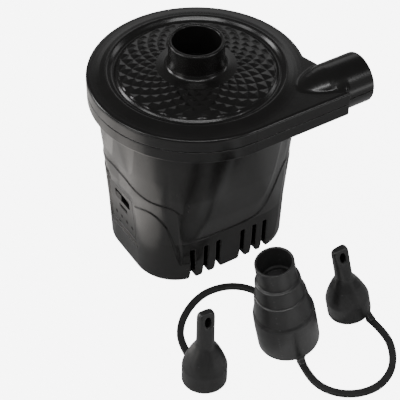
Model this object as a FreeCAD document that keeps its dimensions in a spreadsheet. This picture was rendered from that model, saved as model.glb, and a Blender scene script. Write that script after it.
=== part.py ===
import FreeCAD, Part
import math
import os
import Sketcher

# Electric air mattress pump, in millimetres.
# The origin is on the impeller's axis at the level of the floor. +Z is up, +X is the way the air
# leaves, the control panel is on the -X side and the vent slots are on the -Y and +Y sides.

doc = FreeCAD.newDocument("air_pump")
sheet = doc.addObject("Spreadsheet::Sheet", "sizes")
node_objects = []


class Size:
    """A number together with the spreadsheet expression that gives it."""

    def __init__(self, value, text):
        self.value = float(value)
        self.text = text

    def __add__(self, other):
        other = as_size(other)
        return Size(self.value + other.value, "(%s + %s)" % (self.text, other.text))

    def __radd__(self, other):
        return as_size(other) + self

    def __sub__(self, other):
        other = as_size(other)
        return Size(self.value - other.value, "(%s - %s)" % (self.text, other.text))

    def __rsub__(self, other):
        return as_size(other) - self

    def __mul__(self, other):
        other = as_size(other)
        return Size(self.value * other.value, "(%s * %s)" % (self.text, other.text))

    def __rmul__(self, other):
        return as_size(other) * self

    def __truediv__(self, other):
        other = as_size(other)
        return Size(self.value / other.value, "(%s / %s)" % (self.text, other.text))

    def __neg__(self):
        return Size(-self.value, "(0 - %s)" % self.text)


def as_size(thing):
    """A plain number turned into a Size, or a Size as it is."""
    if isinstance(thing, Size):
        return thing
    if thing < 0:
        return Size(thing, "(0 - %r)" % -float(thing))
    return Size(thing, "%r" % float(thing))


def number(thing):
    return as_size(thing).value


# ---------------------------------------------------------------- driving dimensions

DRIVING_SIZES = {
    # lid, rim and volute
    "lidRadius": 51.0,
    "lidTop": 98.7,
    "seamHeight": 92.1,
    "rimBottom": 85.8,
    "skin": 2.4,
    "beadRadius": 41.0,
    "beadHeight": 1.2,
    "fieldRadius": 36.6,
    "domeRise": 4.4,
    "chamberRadius": 44.0,
    # inlet collar
    "collarRadius": 13.0,
    "collarBore": 11.0,
    "collarTop": 115.5,
    "filletSize": 1.8,
    # outlet
    "outletOffset": 36.4,
    "outletRadius": 12.1,
    "outletBore": 10.3,
    "outletEnd": 66.3,
    "flangeEnd": 50.3,
    "fairingStart": 31.0,
    "fairingFull": 46.0,
    # body shell
    "baseHalfLength": 40.0,
    "baseHalfWidth": 31.8,
    "baseCorner": 21.6,
    "footHeight": 25.0,
    "footHalfLength": 40.9,
    "footHalfWidth": 32.9,
    "footCorner": 22.8,
    "waistHeight": 56.0,
    "waistHalfLength": 43.0,
    "waistHalfWidth": 39.9,
    "waistCorner": 32.0,
    "topHalf": 46.2,
    "topCorner": 45.0,
    "shellWall": 2.4,
    "slotWidth": 2.1,
    "slotHeight": 19.4,
    "toothInside": 27.2,
    # control panel
    "panelMiddle": 2.7,
    "panelLength": 21.8,
    "panelBottom": 16.8,
    "panelTop": 41.6,
    "panelFace": 40.3,
    "panelThickness": 1.2,
    "switchMiddle": 1.8,
    "switchHeight": 36.0,
    "switchLength": 13.4,
    "switchWidth": 5.0,
    "knobLength": 5.0,
    "socketMiddle": 2.0,
    "socketHeight": 29.2,
    "socketLength": 7.4,
    "socketWidth": 2.6,
    "lightHeight": 21.8,
    "lightPitch": 5.0,
    "lightRadius": 0.9,
    # motor and impeller
    "motorRadius": 18.0,
    "motorLength": 57.0,
    "shaftRadius": 1.6,
    "impellerRadius": 38.5,
    "impellerBottom": 89.6,
    "impellerHeight": 6.0,
    # battery
    "cellRadius": 9.1,
    "cellLength": 65.0,
    "cellOffset": 26.9,
    "cellPitch": 18.8,
    "cellBottom": 6.0,
    # accessory nozzles
    "adapterRadius": 14.5,
    "adapterHeight": 53.5,
    "adapterBore": 13.1,
    "adapterTip": 9.0,
    "smallRadius": 10.4,
    "smallHeight": 41.0,
    "smallBore": 9.1,
    "strapWidth": 3.4,
    "strapThickness": 2.0,
}


class Sizes:
    """The driving dimensions by name, each one a Size bound to its spreadsheet cell."""


d = Sizes()
for row, (alias, value) in enumerate(DRIVING_SIZES.items(), start=1):
    sheet.set("A%d" % row, alias)
    sheet.set("B%d" % row, str(value))
    sheet.setAlias("B%d" % row, alias)
    setattr(d, alias, Size(value, "sizes.%s" % alias))
doc.recompute()


# ---------------------------------------------------------------- building blocks

def bind(thing, path, size):
    """Sets one property from a Size, as an expression, so that the sheet drives it."""
    thing.setExpression(path, as_size(size).text)


def place(thing, x=0, y=0, z=0, axis=(0, 0, 1), angle=0):
    """Turns a thing about an axis through its own origin and moves it to (x, y, z)."""
    turn = FreeCAD.Rotation(FreeCAD.Vector(*axis), angle)
    spot = FreeCAD.Vector(number(x), number(y), number(z))
    thing.Placement = FreeCAD.Placement(spot, turn)
    for letter, size in (("x", x), ("y", y), ("z", z)):
        if isinstance(size, Size):
            bind(thing, "Placement.Base." + letter, size)
    return thing


TOWARDS = {
    "+Z": ((0, 0, 1), 0),
    "-Z": ((1, 0, 0), 180),
    "+X": ((0, 1, 0), 90),
    "-X": ((0, 1, 0), -90),
    "+Y": ((1, 0, 0), -90),
    "-Y": ((1, 0, 0), 90),
}


def cylinder(name, radius, length, x=0, y=0, z=0, towards="+Z", sweep=None):
    """A cylinder that starts at (x, y, z) and runs towards an axis; sweep cuts it to a sector."""
    thing = doc.addObject("Part::Cylinder", name)
    bind(thing, "Radius", radius)
    bind(thing, "Height", length)
    if sweep is not None:
        thing.Angle = sweep
    axis, angle = TOWARDS[towards]
    return place(thing, x, y, z, axis, angle)


def cone(name, radius, end_radius, length, x=0, y=0, z=0, towards="+Z"):
    thing = doc.addObject("Part::Cone", name)
    bind(thing, "Radius1", radius)
    bind(thing, "Radius2", end_radius)
    bind(thing, "Height", length)
    axis, angle = TOWARDS[towards]
    return place(thing, x, y, z, axis, angle)


def box(name, low, high):
    """A box between two opposite corners."""
    thing = doc.addObject("Part::Box", name)
    for key, start, end in zip(("Length", "Width", "Height"), low, high):
        bind(thing, key, as_size(end) - start)
    return place(thing, *low)


def centred_box(name, length, width, height, x=0, y=0, z=0):
    """A box centred on (x, y), standing on z."""
    low = (as_size(x) - as_size(length) / 2, as_size(y) - as_size(width) / 2, z)
    high = (as_size(x) + as_size(length) / 2, as_size(y) + as_size(width) / 2, as_size(z) + height)
    return box(name, low, high)


def fuse(name, things):
    if len(things) == 1:
        return things[0]
    thing = doc.addObject("Part::MultiFuse", name)
    thing.Shapes = things
    return thing


def cut(name, base, tools):
    thing = doc.addObject("Part::Cut", name)
    thing.Base = base
    thing.Tool = fuse(name + "_tools", tools)
    return thing


def common(name, first, second):
    thing = doc.addObject("Part::Common", name)
    thing.Base = first
    thing.Tool = second
    return thing


def group(name, things):
    """Several separate solids as one node."""
    thing = doc.addObject("Part::Compound", name)
    thing.Links = things
    return thing


def ring(name, outer, inner, height, x=0, y=0, z=0, towards="+Z"):
    """A plain tube."""
    outside = cylinder(name + "_outside", outer, height, x, y, z, towards)
    inside = cylinder(name + "_inside", inner, height, x, y, z, towards)
    return cut(name, outside, [inside])


def turned_copy(thing, name, angle, x=0, y=0, z=0):
    """A copy of a thing, turned about Z and moved."""
    copy = doc.addObject("Part::Compound", name)
    copy.Links = [thing]
    return place(copy, x, y, z, (0, 0, 1), angle)


def origin_plane(body, role):
    return next(o for o in body.Origin.OriginFeatures if o.Role == role)


def outline(body, name, plane, points):
    """A closed sketch of straight lines whose corners are bound to the sheet."""
    sketch = body.newObject("Sketcher::SketchObject", name)
    sketch.AttachmentSupport = [(origin_plane(body, plane), "")]
    sketch.MapMode = "FlatFace"
    corners = [FreeCAD.Vector(number(across), number(up), 0) for across, up in points]
    count = len(corners)
    for index in range(count):
        sketch.addGeometry(Part.LineSegment(corners[index], corners[(index + 1) % count]), False)
    for index in range(count):
        sketch.addConstraint(Sketcher.Constraint("Coincident", index, 2, (index + 1) % count, 1))
    for index, (across, up) in enumerate(points):
        for kind, on_axis, size in (("DistanceX", -2, across), ("DistanceY", -1, up)):
            if number(size) == 0:
                sketch.addConstraint(Sketcher.Constraint("PointOnObject", index, 1, on_axis))
                continue
            sketch.addConstraint(Sketcher.Constraint(kind, -1, 1, index, 1, number(size)))
            bind(sketch, "Constraints[%d]" % (sketch.ConstraintCount - 1), size)
    return sketch


def revolved(name, points):
    """A body turned about Z from an outline of (radius, height) corners."""
    body = doc.addObject("PartDesign::Body", name)
    sketch = outline(body, name + "_outline", "XZ_Plane", points)
    turn = body.newObject("PartDesign::Revolution", name + "_turn")
    turn.Profile = sketch
    turn.ReferenceAxis = (sketch, ["V_Axis"])
    turn.Angle = 360
    body.Tip = turn
    return body


def padded(name, points, bottom, height):
    """A body raised from a plan outline of (x, y) corners."""
    body = doc.addObject("PartDesign::Body", name)
    sketch = outline(body, name + "_outline", "XY_Plane", points)
    pad = body.newObject("PartDesign::Pad", name + "_pad")
    pad.Profile = sketch
    bind(pad, "Length", height)
    body.Tip = pad
    return place(body, 0, 0, bottom)


def rounded_rectangle(body, name, half_length, half_width, corner, height):
    """A sketch of a rectangle with round corners, centred on the axis at a height."""
    sketch = body.newObject("Sketcher::SketchObject", name)
    sketch.AttachmentSupport = [(origin_plane(body, "XY_Plane"), "")]
    sketch.MapMode = "FlatFace"
    bind(sketch, "AttachmentOffset.Base.z", height)
    a = number(half_length)
    b = number(half_width)
    r = number(corner)
    ends = [
        ((-a + r, -b), (a - r, -b)),
        ((a, -b + r), (a, b - r)),
        ((a - r, b), (-a + r, b)),
        ((-a, b - r), (-a, -b + r)),
    ]
    centres = [(a - r, -b + r), (a - r, b - r), (-a + r, b - r), (-a + r, -b + r)]
    for start, end in ends:
        sketch.addGeometry(Part.LineSegment(FreeCAD.Vector(*start, 0), FreeCAD.Vector(*end, 0)), False)
    for index, centre in enumerate(centres):
        circle = Part.Circle(FreeCAD.Vector(*centre, 0), FreeCAD.Vector(0, 0, 1), r)
        start = math.radians(90 * index - 90)
        sketch.addGeometry(Part.ArcOfCircle(circle, start, start + math.pi / 2), False)
    for index in range(4):
        sketch.addConstraint(Sketcher.Constraint("Tangent", index, 2, index + 4, 1))
        sketch.addConstraint(Sketcher.Constraint("Tangent", index + 4, 2, (index + 1) % 4, 1))
    for index in (1, 2, 3):
        sketch.addConstraint(Sketcher.Constraint("Equal", 4, 4 + index))
    sketch.addConstraint(Sketcher.Constraint("Horizontal", 0))
    sketch.addConstraint(Sketcher.Constraint("Vertical", 1))
    sketch.addConstraint(Sketcher.Constraint("Radius", 4, r))
    bind(sketch, "Constraints[%d]" % (sketch.ConstraintCount - 1), corner)
    for kind, line, size in (
        ("DistanceY", 0, -as_size(half_width)),
        ("DistanceX", 1, half_length),
        ("DistanceY", 2, half_width),
        ("DistanceX", 3, -as_size(half_length)),
    ):
        sketch.addConstraint(Sketcher.Constraint(kind, -1, 1, line, 1, number(size)))
        bind(sketch, "Constraints[%d]" % (sketch.ConstraintCount - 1), size)
    return sketch


# The shell's sections, from the floor up: height, half length, half width and corner radius.
SHELL_SECTIONS = [
    (as_size(0), d.baseHalfLength, d.baseHalfWidth, d.baseCorner),
    (d.footHeight, d.footHalfLength, d.footHalfWidth, d.footCorner),
    (d.waistHeight, d.waistHalfLength, d.waistHalfWidth, d.waistCorner),
    (d.rimBottom, d.topHalf, d.topHalf, d.topCorner),
]


def section_at(height):
    """Half length, half width and corner radius of the shell's outside at a height."""
    for lower, upper in zip(SHELL_SECTIONS, SHELL_SECTIONS[1:]):
        if number(height) <= number(upper[0]):
            break
    share = (as_size(height) - lower[0]) / (upper[0] - lower[0])
    return [start + (end - start) * share for start, end in zip(lower[1:], upper[1:])]


def barrel(name, inset, bottom, top):
    """The shell's tapering form, set in by a distance all round, between two heights."""
    body = doc.addObject("PartDesign::Body", name)
    between = [row[0] for row in SHELL_SECTIONS if number(bottom) < row[0].value < number(top)]
    sketches = []
    for index, height in enumerate([bottom] + between + [top]):
        sizes = [size - inset for size in section_at(height)]
        sketches.append(rounded_rectangle(body, "%s_section_%d" % (name, index), *sizes, height))
    loft = body.newObject("PartDesign::AdditiveLoft", name + "_loft")
    loft.Profile = sketches[0]
    loft.Sections = sketches[1:]
    loft.Ruled = True
    body.Tip = loft
    return body


def node(name, thing):
    """Names a finished piece; each one is written to a file of its own."""
    thing.Label = name
    node_objects.append(thing)
    return thing


def screw(name, head_radius, head_height, shank_radius, length, x, y, z):
    """A pan-head screw that points up, with a cross recess in the underside of its head."""
    head = cylinder(name + "_head", head_radius, head_height, x, y, z)
    shank = cylinder(name + "_shank", shank_radius, length, x, y, as_size(z) + head_height)
    blade = as_size(head_radius) * 1.2
    slot = as_size(head_radius) * 0.3
    depth = as_size(head_height) * 0.6
    along = centred_box(name + "_along", blade, slot, depth, x, y, z)
    across = centred_box(name + "_across", slot, blade, depth, x, y, z)
    return cut(name, fuse(name + "_blank", [head, shank]), [along, across])


def on_circle(radius, angle):
    """A point on a circle about the pump's axis, with the angle in degrees."""
    return (
        as_size(radius) * math.cos(math.radians(angle)),
        as_size(radius) * math.sin(math.radians(angle)),
    )


# ---------------------------------------------------------------- volute casing

COVER_SCREW_ANGLES = [15, 75, 135, 195, 250]
COVER_SCREW_CIRCLE = 47.6
SHELL_SCREW_ANGLES = [0, 90, 180, 270]
SHELL_SCREW_CIRCLE = 41.0
MOTOR_SCREW_CIRCLE = 12.5
GUARD_TOP = 99.6
FAIRING_STEP = 0.3
OUTLET_ROOT = 1.5


def casing_outside():
    """The closed outer form of lid, rim, flange and outlet, before it is split at the seam."""
    disc = cylinder("disc", d.lidRadius, d.lidTop - d.rimBottom, z=d.rimBottom)
    flange = padded(
        "flange",
        [
            (0, -d.lidRadius),
            (d.flangeEnd, -d.lidRadius),
            (d.flangeEnd, -d.outletOffset + d.outletRadius),
            (d.lidRadius - 2.8, -d.outletOffset + d.outletRadius + 7.8),
            (0, 0),
        ],
        d.rimBottom,
        d.lidTop - d.rimBottom,
    )
    fairing_radius = d.outletRadius + FAIRING_STEP
    upper_fairing = cone(
        "upper_fairing", d.lidTop - d.seamHeight, fairing_radius, d.fairingFull - d.fairingStart,
        d.fairingStart, -d.outletOffset, d.seamHeight, "+X",
    )
    fairing_end = cylinder(
        "fairing_end", fairing_radius, d.flangeEnd - d.fairingFull,
        d.fairingFull, -d.outletOffset, d.seamHeight, "+X",
    )
    root = cone(
        "outlet_root", d.outletRadius + OUTLET_ROOT, d.outletRadius, OUTLET_ROOT,
        d.flangeEnd, -d.outletOffset, d.seamHeight, "+X",
    )
    outlet = cylinder(
        "outlet_tube", d.outletRadius, d.outletEnd - d.flangeEnd,
        d.flangeEnd, -d.outletOffset, d.seamHeight, "+X",
    )
    return fuse("casing_outside", [disc, flange, upper_fairing, fairing_end, root, outlet])


def casing_inside():
    """The air path: impeller chamber, tapering duct and outlet bore."""
    chamber_bottom = d.rimBottom + d.skin
    chamber_height = d.lidTop - d.skin - chamber_bottom
    chamber = cylinder("chamber", d.chamberRadius, chamber_height, z=chamber_bottom)
    throat = d.lidTop - d.skin - d.seamHeight
    duct = cone(
        "duct", throat, d.outletBore, d.fairingFull + 2 - d.fairingStart,
        d.fairingStart, -d.outletOffset, d.seamHeight, "+X",
    )
    bore = cylinder(
        "outlet_bore", d.outletBore, d.outletEnd - d.fairingFull,
        d.fairingFull + 2, -d.outletOffset, d.seamHeight, "+X",
    )
    channel = box(
        "channel",
        (10, -d.outletOffset - throat, chamber_bottom),
        (d.fairingStart + 6, -d.outletOffset + 10, d.lidTop - d.skin),
    )
    return fuse("casing_inside", [chamber, duct, bore, channel])


def make_casing():
    reach = 80
    outside = casing_outside()
    inside = casing_inside()
    above = box("above_seam", (-reach, -reach, d.seamHeight), (reach, reach, d.collarTop + 10))
    below = box("below_seam", (-reach, -reach, 0), (reach, reach, d.seamHeight))
    make_top_cover(common("cover_blank", outside, above), inside)
    make_lower_volute(common("volute_blank", outside, below), inside)


def make_top_cover(blank, inside):
    foot = d.lidTop + d.domeRise
    crown = revolved(
        "crown",
        [
            (d.collarBore, d.lidTop - d.skin),
            (d.beadRadius + 1.0, d.lidTop - d.skin),
            (d.beadRadius + 1.0, d.lidTop),
            (d.beadRadius + 0.4, d.lidTop + d.beadHeight),
            (d.beadRadius - 0.4, d.lidTop + d.beadHeight),
            (d.beadRadius - 1.4, d.lidTop + 0.1),
            (d.fieldRadius, d.lidTop + 0.5),
            (d.fieldRadius / 2, d.lidTop + d.domeRise * 0.72),
            (d.collarRadius + d.filletSize, foot),
            (d.collarRadius, foot + d.filletSize),
            (d.collarRadius, d.collarTop - 0.6),
            (d.collarRadius - 0.6, d.collarTop),
            (d.collarBore + 0.5, d.collarTop),
            (d.collarBore, d.collarTop - 0.5),
        ],
    )
    eye = cylinder("eye", d.collarBore, d.collarTop - d.seamHeight, z=d.seamHeight)
    guard_seat = cylinder("guard_seat", d.collarBore + 1.05, GUARD_TOP + 0.1 - d.seamHeight, z=d.seamHeight)
    groove = ring("seal_groove", 46.1, 44.9, 0.8, z=d.seamHeight)
    holes = [
        cylinder("cover_thread_%d" % index, 1.3, 4.5, *on_circle(COVER_SCREW_CIRCLE, angle), d.seamHeight)
        for index, angle in enumerate(COVER_SCREW_ANGLES)
    ]
    cover = cut("cover", fuse("cover_solid", [blank, crown]), [inside, eye, guard_seat, groove] + holes)
    node("top_cover", cover)


def make_lower_volute(blank, inside):
    start = d.fairingStart + 7
    lower_fairing = cone(
        "lower_fairing", d.seamHeight - d.rimBottom, d.outletRadius + FAIRING_STEP,
        d.fairingFull - start,
        start, -d.outletOffset, d.seamHeight, "+X",
    )
    half_space = box("volute_half", (-80, -80, 0), (80, 80, d.seamHeight))
    fairing = common("lower_fairing_half", lower_fairing, half_space)
    solid = fuse("volute_solid", [blank, fairing])
    motor_hole = cylinder("motor_hole", 5.2, 6, z=d.rimBottom - 1)
    tools = [lower_air_path(inside), motor_hole]
    for index, angle in enumerate(COVER_SCREW_ANGLES):
        x, y = on_circle(COVER_SCREW_CIRCLE, angle)
        tools.append(cylinder("cover_hole_%d" % index, 1.55, 8, x, y, d.rimBottom - 1))
        tools.append(cylinder("cover_sink_%d" % index, 2.7, 3.0, x, y, d.rimBottom - 1))
    for index, angle in enumerate((0, 180)):
        x, y = on_circle(MOTOR_SCREW_CIRCLE, angle)
        tools.append(cylinder("motor_clearance_%d" % index, 1.6, 6, x, y, d.rimBottom - 1))
    for index, angle in enumerate(SHELL_SCREW_ANGLES):
        x, y = on_circle(SHELL_SCREW_CIRCLE, angle)
        tools.append(cylinder("shell_thread_%d" % index, 1.03, 3.2, x, y, d.rimBottom - 1))
    node("lower_volute", cut("volute", solid, tools))


def lower_air_path(inside):
    """The air path without the part of the duct that would open into the shell."""
    floor_end = d.fairingStart + 12
    floor_block = box("floor_block", (0, -60, 60), (floor_end, 0, d.rimBottom + d.skin))
    return cut("lower_air_path", inside, [floor_block])


def make_seal():
    node("volute_seal", ring("volute_seal", 46.05, 44.95, 0.75, z=d.seamHeight))


def make_cover_screws():
    screws = []
    for index, angle in enumerate(COVER_SCREW_ANGLES):
        x, y = on_circle(COVER_SCREW_CIRCLE, angle)
        screws.append(screw("cover_screw_%d" % index, 2.5, 1.6, 1.25, 8.2, x, y, d.rimBottom + 0.4))
    node("cover_screws", group("cover_screws", screws))


def make_inlet_guard():
    """A press-in ring with crossed bars that keeps fingers out of the impeller."""
    bottom = GUARD_TOP - 2.0
    rim = ring("guard_rim", d.collarBore + 1.0, d.collarBore - 0.3, 2.0, z=bottom)
    bar_length = (d.collarBore + 0.3) * 2
    bars = [
        centred_box("guard_bar_x", bar_length, 1.4, 1.6, 0, 0, bottom),
        centred_box("guard_bar_y", 1.4, bar_length, 1.6, 0, 0, bottom),
    ]
    hub = cylinder("guard_hub", 2.6, 1.6, z=bottom)
    node("inlet_guard", fuse("inlet_guard", [rim, hub] + bars))


# ---------------------------------------------------------------- body shell and base

JOINT_GAP = 0.05
SLOT_SPOTS = (-21.4, -14.3, -7.3, 6.7, 13.5, 19.5)
TOOTH_ZONE = 25.5
BASE_SCREW_SPOTS = [(-24.5, -16), (-24.5, 16), (10.5, -22.5), (10.5, 22.5)]


def make_body_shell():
    outside = barrel("shell_outside", 0, 0, d.rimBottom - JOINT_GAP)
    inside = barrel("shell_inside", d.shellWall, 0, d.rimBottom - JOINT_GAP)
    y_low = d.panelMiddle - d.panelLength / 2 - 0.15
    y_high = d.panelMiddle + d.panelLength / 2 + 0.15
    frame_block = box(
        "frame_block",
        (-60, y_low - 2, d.panelBottom - 2), (-d.panelFace + 3.4, y_high + 2, d.panelTop + 2),
    )
    tools = []
    for index, spot in enumerate(SLOT_SPOTS):
        for side, name in ((-1, "front"), (1, "back")):
            tools.append(
                centred_box(
                    "%s_slot_%d" % (name, index), d.slotWidth, 24, d.slotHeight,
                    spot, side * (d.baseHalfWidth + 4), 0,
                )
            )
    tools.append(
        box(
            "panel_pocket",
            (-60, y_low, d.panelBottom - 0.15),
            (-d.panelFace + d.panelThickness, y_high, d.panelTop + 0.15),
        )
    )
    tools.append(
        box(
            "panel_window",
            (-60, d.panelMiddle - d.panelLength / 2 + 1.6, d.panelBottom + 1.6),
            (-30, d.panelMiddle + d.panelLength / 2 - 1.6, d.panelTop - 1.6),
        )
    )
    wall = cut("shell_wall", outside, [inside])
    frame = common("panel_frame", frame_block, outside)
    teeth = [
        common(
            "%s_teeth" % name,
            centred_box(
                "%s_teeth_block" % name, TOOTH_ZONE * 2, 20, d.slotHeight + 2,
                0, side * (d.toothInside + 10), 0,
            ),
            outside,
        )
        for side, name in ((-1, "front"), (1, "back"))
    ]
    shell = cut("shell_openings", fuse("shell_solid", [wall, frame] + teeth), tools)
    ledge_outer = d.topHalf - d.shellWall + 1
    posts = []
    rib_room = barrel("rib_room", 1.0, 0, 30)
    for index, (x, y) in enumerate(BASE_SCREW_SPOTS):
        post = cylinder("base_post_%d" % index, 3.0, 14, x, y, 3.6)
        hole = cylinder("base_post_hole_%d" % index, 1.05, 9, x, y, 3.6)
        rib = centred_box("base_rib_%d" % index, 1.6, 16, 14, x, y + math.copysign(9.5, y), 3.6)
        rib_fit = common("base_rib_fit_%d" % index, rib, rib_room)
        blank = fuse("base_post_rib_%d" % index, [post, rib_fit])
        posts.append(cut("base_post_drilled_%d" % index, blank, [hole]))
    ledge = ring("ledge_ring", ledge_outer, ledge_outer - 7, 1.5, z=d.rimBottom - 1.5 - JOINT_GAP)
    holes = [
        cylinder("ledge_hole_%d" % index, 1.2, 4, *on_circle(SHELL_SCREW_CIRCLE, angle), d.rimBottom - 3)
        for index, angle in enumerate(SHELL_SCREW_ANGLES)
    ]
    node("body_shell", fuse("body_shell", [shell, cut("top_ledge", ledge, holes)] + posts))


def make_shell_screws():
    screws = []
    for index, angle in enumerate(SHELL_SCREW_ANGLES):
        x, y = on_circle(SHELL_SCREW_CIRCLE, angle)
        screws.append(screw("shell_screw_%d" % index, 2.0, 1.4, 0.98, 3.6, x, y, d.rimBottom - 3.0))
    node("shell_screws", group("shell_screws", screws))


def make_base_cover():
    plate = barrel("base_plate", d.shellWall + 0.2, 0, 2.4)
    rim_outside = barrel("base_rim_outside", d.shellWall + 1.2, 2.0, 3.6)
    rim_inside = barrel("base_rim_inside", d.shellWall + 2.8, 1.5, 4.0)
    rim = cut("base_rim", rim_outside, [rim_inside])
    tools = []
    for index, (x, y) in enumerate(BASE_SCREW_SPOTS):
        tools.append(cylinder("base_hole_%d" % index, 1.45, 6, x, y, -1))
        tools.append(cylinder("base_sink_%d" % index, 2.6, 1.7, x, y, 0))
    for side, name in ((-1, "front"), (1, "back")):
        notch_middle = side * (d.toothInside + 9.8)
        tools.append(
            centred_box("%s_notch" % name, TOOTH_ZONE * 2 + 0.4, 20, 6, 0, notch_middle, -1)
        )
    bosses = [
        cylinder("base_boss_%d" % index, 3.0, 3.5, x, y, 0)
        for index, (x, y) in enumerate(BASE_SCREW_SPOTS)
    ]
    node("base_cover", cut("base_cover", fuse("base_solid", [plate, rim] + bosses), tools))


def make_base_screws():
    screws = [
        screw("base_screw_%d" % index, 2.4, 1.4, 1.0, 8.5, x, y, 0.3)
        for index, (x, y) in enumerate(BASE_SCREW_SPOTS)
    ]
    node("base_screws", group("base_screws", screws))


# ---------------------------------------------------------------- control panel

def make_control_panel():
    back = -d.panelFace + d.panelThickness
    plate = box(
        "panel_plate",
        (-d.panelFace, d.panelMiddle - d.panelLength / 2, d.panelBottom),
        (back, d.panelMiddle + d.panelLength / 2, d.panelTop),
    )
    tools = [
        box(
            "switch_window",
            (-60, d.switchMiddle - d.switchLength / 2, d.switchHeight - d.switchWidth / 2),
            (-30, d.switchMiddle + d.switchLength / 2, d.switchHeight + d.switchWidth / 2),
        ),
        box(
            "socket_window",
            (-60, d.socketMiddle - d.socketLength / 2, d.socketHeight - d.socketWidth / 2),
            (-30, d.socketMiddle + d.socketLength / 2, d.socketHeight + d.socketWidth / 2),
        ),
    ]
    for index in range(4):
        y = d.socketMiddle + d.lightPitch * (index - 1.5)
        tools.append(cylinder("light_window_%d" % index, d.lightRadius, 8, -44, y, d.lightHeight, "+X"))
    node("control_panel", cut("control_panel", plate, tools))


BOARD_FACE = 34.2


def make_circuit_board():
    board = box("board", (-BOARD_FACE, -9, 15.5), (-BOARD_FACE + 1.6, 14.4, 44))
    driver = box("driver_chip", (-BOARD_FACE + 1.6, -2, 20), (-BOARD_FACE + 3.2, 6, 26))
    coil = cylinder("board_coil", 3.2, 3.4, -BOARD_FACE + 1.6, 9.5, 32, "+X")
    node("circuit_board", fuse("circuit_board", [board, driver, coil]))


def make_switch():
    low = d.switchMiddle - d.switchLength / 2 + 0.6
    high = d.switchMiddle + d.switchLength / 2 - 0.6
    body = box(
        "switch_body",
        (-38.9, low, d.switchHeight - 2.4), (-BOARD_FACE, high, d.switchHeight + 2.4),
    )
    slot = box(
        "switch_track",
        (-39.5, low + 0.8, d.switchHeight - 0.8), (-35.5, high - 0.8, d.switchHeight + 0.8),
    )
    node("switch_housing", cut("switch_housing", body, [slot]))
    knob_high = d.switchMiddle + d.switchLength / 2 - 1.6
    knob_low = knob_high - d.knobLength
    face = -d.panelFace - 0.5
    cap = box(
        "knob_cap", (face, knob_low, d.switchHeight - 1.9), (-39.2, knob_high, d.switchHeight + 1.9)
    )
    stem = box(
        "knob_stem",
        (-39.3, knob_low + 0.9, d.switchHeight - 0.65), (-36, knob_high - 0.9, d.switchHeight + 0.65),
    )
    ridges = [
        box(
            "knob_ridge_%d" % index,
            (face - 0.4, knob_low + 0.7 + 1.2 * index, d.switchHeight - 1.9),
            (face + 0.1, knob_low + 1.3 + 1.2 * index, d.switchHeight + 1.9),
        )
        for index in range(4)
    ]
    node("switch_knob", fuse("switch_knob", [cap, stem] + ridges))


def make_charge_socket():
    low = d.socketMiddle - d.socketLength / 2 + 0.2
    high = d.socketMiddle + d.socketLength / 2 - 0.2
    z_low = d.socketHeight - d.socketWidth / 2 + 0.15
    z_high = d.socketHeight + d.socketWidth / 2 - 0.15
    shell = box("socket_shell", (-39.9, low, z_low), (-BOARD_FACE, high, z_high))
    mouth = box("socket_mouth", (-40.5, low + 0.35, z_low + 0.35), (-35.2, high - 0.35, z_high - 0.35))
    tongue = box(
        "socket_tongue", (-39.2, low + 1.2, d.socketHeight - 0.3), (-35.1, high - 1.2, d.socketHeight + 0.3)
    )
    node("charge_socket", fuse("charge_socket", [cut("socket_case", shell, [mouth]), tongue]))


def make_indicator_lights():
    lights = []
    for index in range(4):
        y = d.socketMiddle + d.lightPitch * (index - 1.5)
        lens = cylinder(
            "light_%d" % index, d.lightRadius - 0.1, 5.4, -BOARD_FACE, y, d.lightHeight, "-X"
        )
        lights.append(lens)
    node("indicator_lights", group("indicator_lights", lights))


# ---------------------------------------------------------------- motor

CAN_WALL = 1.2
END_CAP = 4.6
BEARING_RADIUS = 4.6


def make_motor_can():
    bottom = d.rimBottom - d.motorLength
    tube = ring("can_tube", d.motorRadius, d.motorRadius - CAN_WALL, d.motorLength, z=bottom)
    face = ring("can_face", d.motorRadius, BEARING_RADIUS + 0.02, CAN_WALL + 0.3, z=d.rimBottom - 1.5)
    threads = []
    for index, angle in enumerate((0, 180)):
        x, y = on_circle(MOTOR_SCREW_CIRCLE, angle)
        threads.append(cylinder("motor_thread_%d" % index, 1.52, 4, x, y, d.rimBottom - 3))
    node("motor_can", cut("motor_can", fuse("can_solid", [tube, face]), threads))


def make_motor_end_cap():
    bottom = d.rimBottom - d.motorLength - END_CAP
    cap = cylinder("cap_disc", d.motorRadius, END_CAP, z=bottom)
    boss = cylinder("cap_boss", 6.4, 3.4, z=bottom - 3.4)
    seat = cylinder("cap_seat", BEARING_RADIUS + 0.02, 5.0, z=bottom - 2.4)
    room = cylinder("cap_room", d.motorRadius - 3, 2.2, z=bottom + END_CAP - 2.2)
    slots = [
        centred_box("terminal_slot_%d" % index, 1.0, 3.2, 12, side * 13.0, 0, bottom - 2)
        for index, side in enumerate((-1, 1))
    ]
    node("motor_end_cap", cut("motor_end_cap", fuse("cap_solid", [cap, boss]), [seat, room] + slots))


def sector(name, outer, inner, height, z, middle, sweep):
    """A curved block: a sector of a tube centred on an angle in degrees."""
    outside = cylinder(name + "_outside", outer, height, sweep=sweep)
    inside = cylinder(name + "_inside", inner, height, sweep=sweep)
    block = cut(name + "_block", outside, [inside])
    return turned_copy(block, name, middle - sweep / 2, z=z)


def make_motor_magnets():
    bottom = d.rimBottom - d.motorLength + 16
    inner_wall = d.motorRadius - CAN_WALL - 0.02
    magnets = [
        sector("magnet_%d" % index, inner_wall, inner_wall - 3.0, 34, bottom, angle, 130)
        for index, angle in enumerate((0, 180))
    ]
    node("motor_magnets", group("motor_magnets", magnets))


def make_bearings():
    bore = d.shaftRadius + 0.04
    front = ring("bearing_front", BEARING_RADIUS, bore, 4.0, z=d.rimBottom - 4.5)
    node("front_bearing", front)
    rear_bottom = d.rimBottom - d.motorLength - END_CAP - 2.4
    node("rear_bearing", ring("bearing_rear", BEARING_RADIUS, bore, 4.0, z=rear_bottom))


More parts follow.
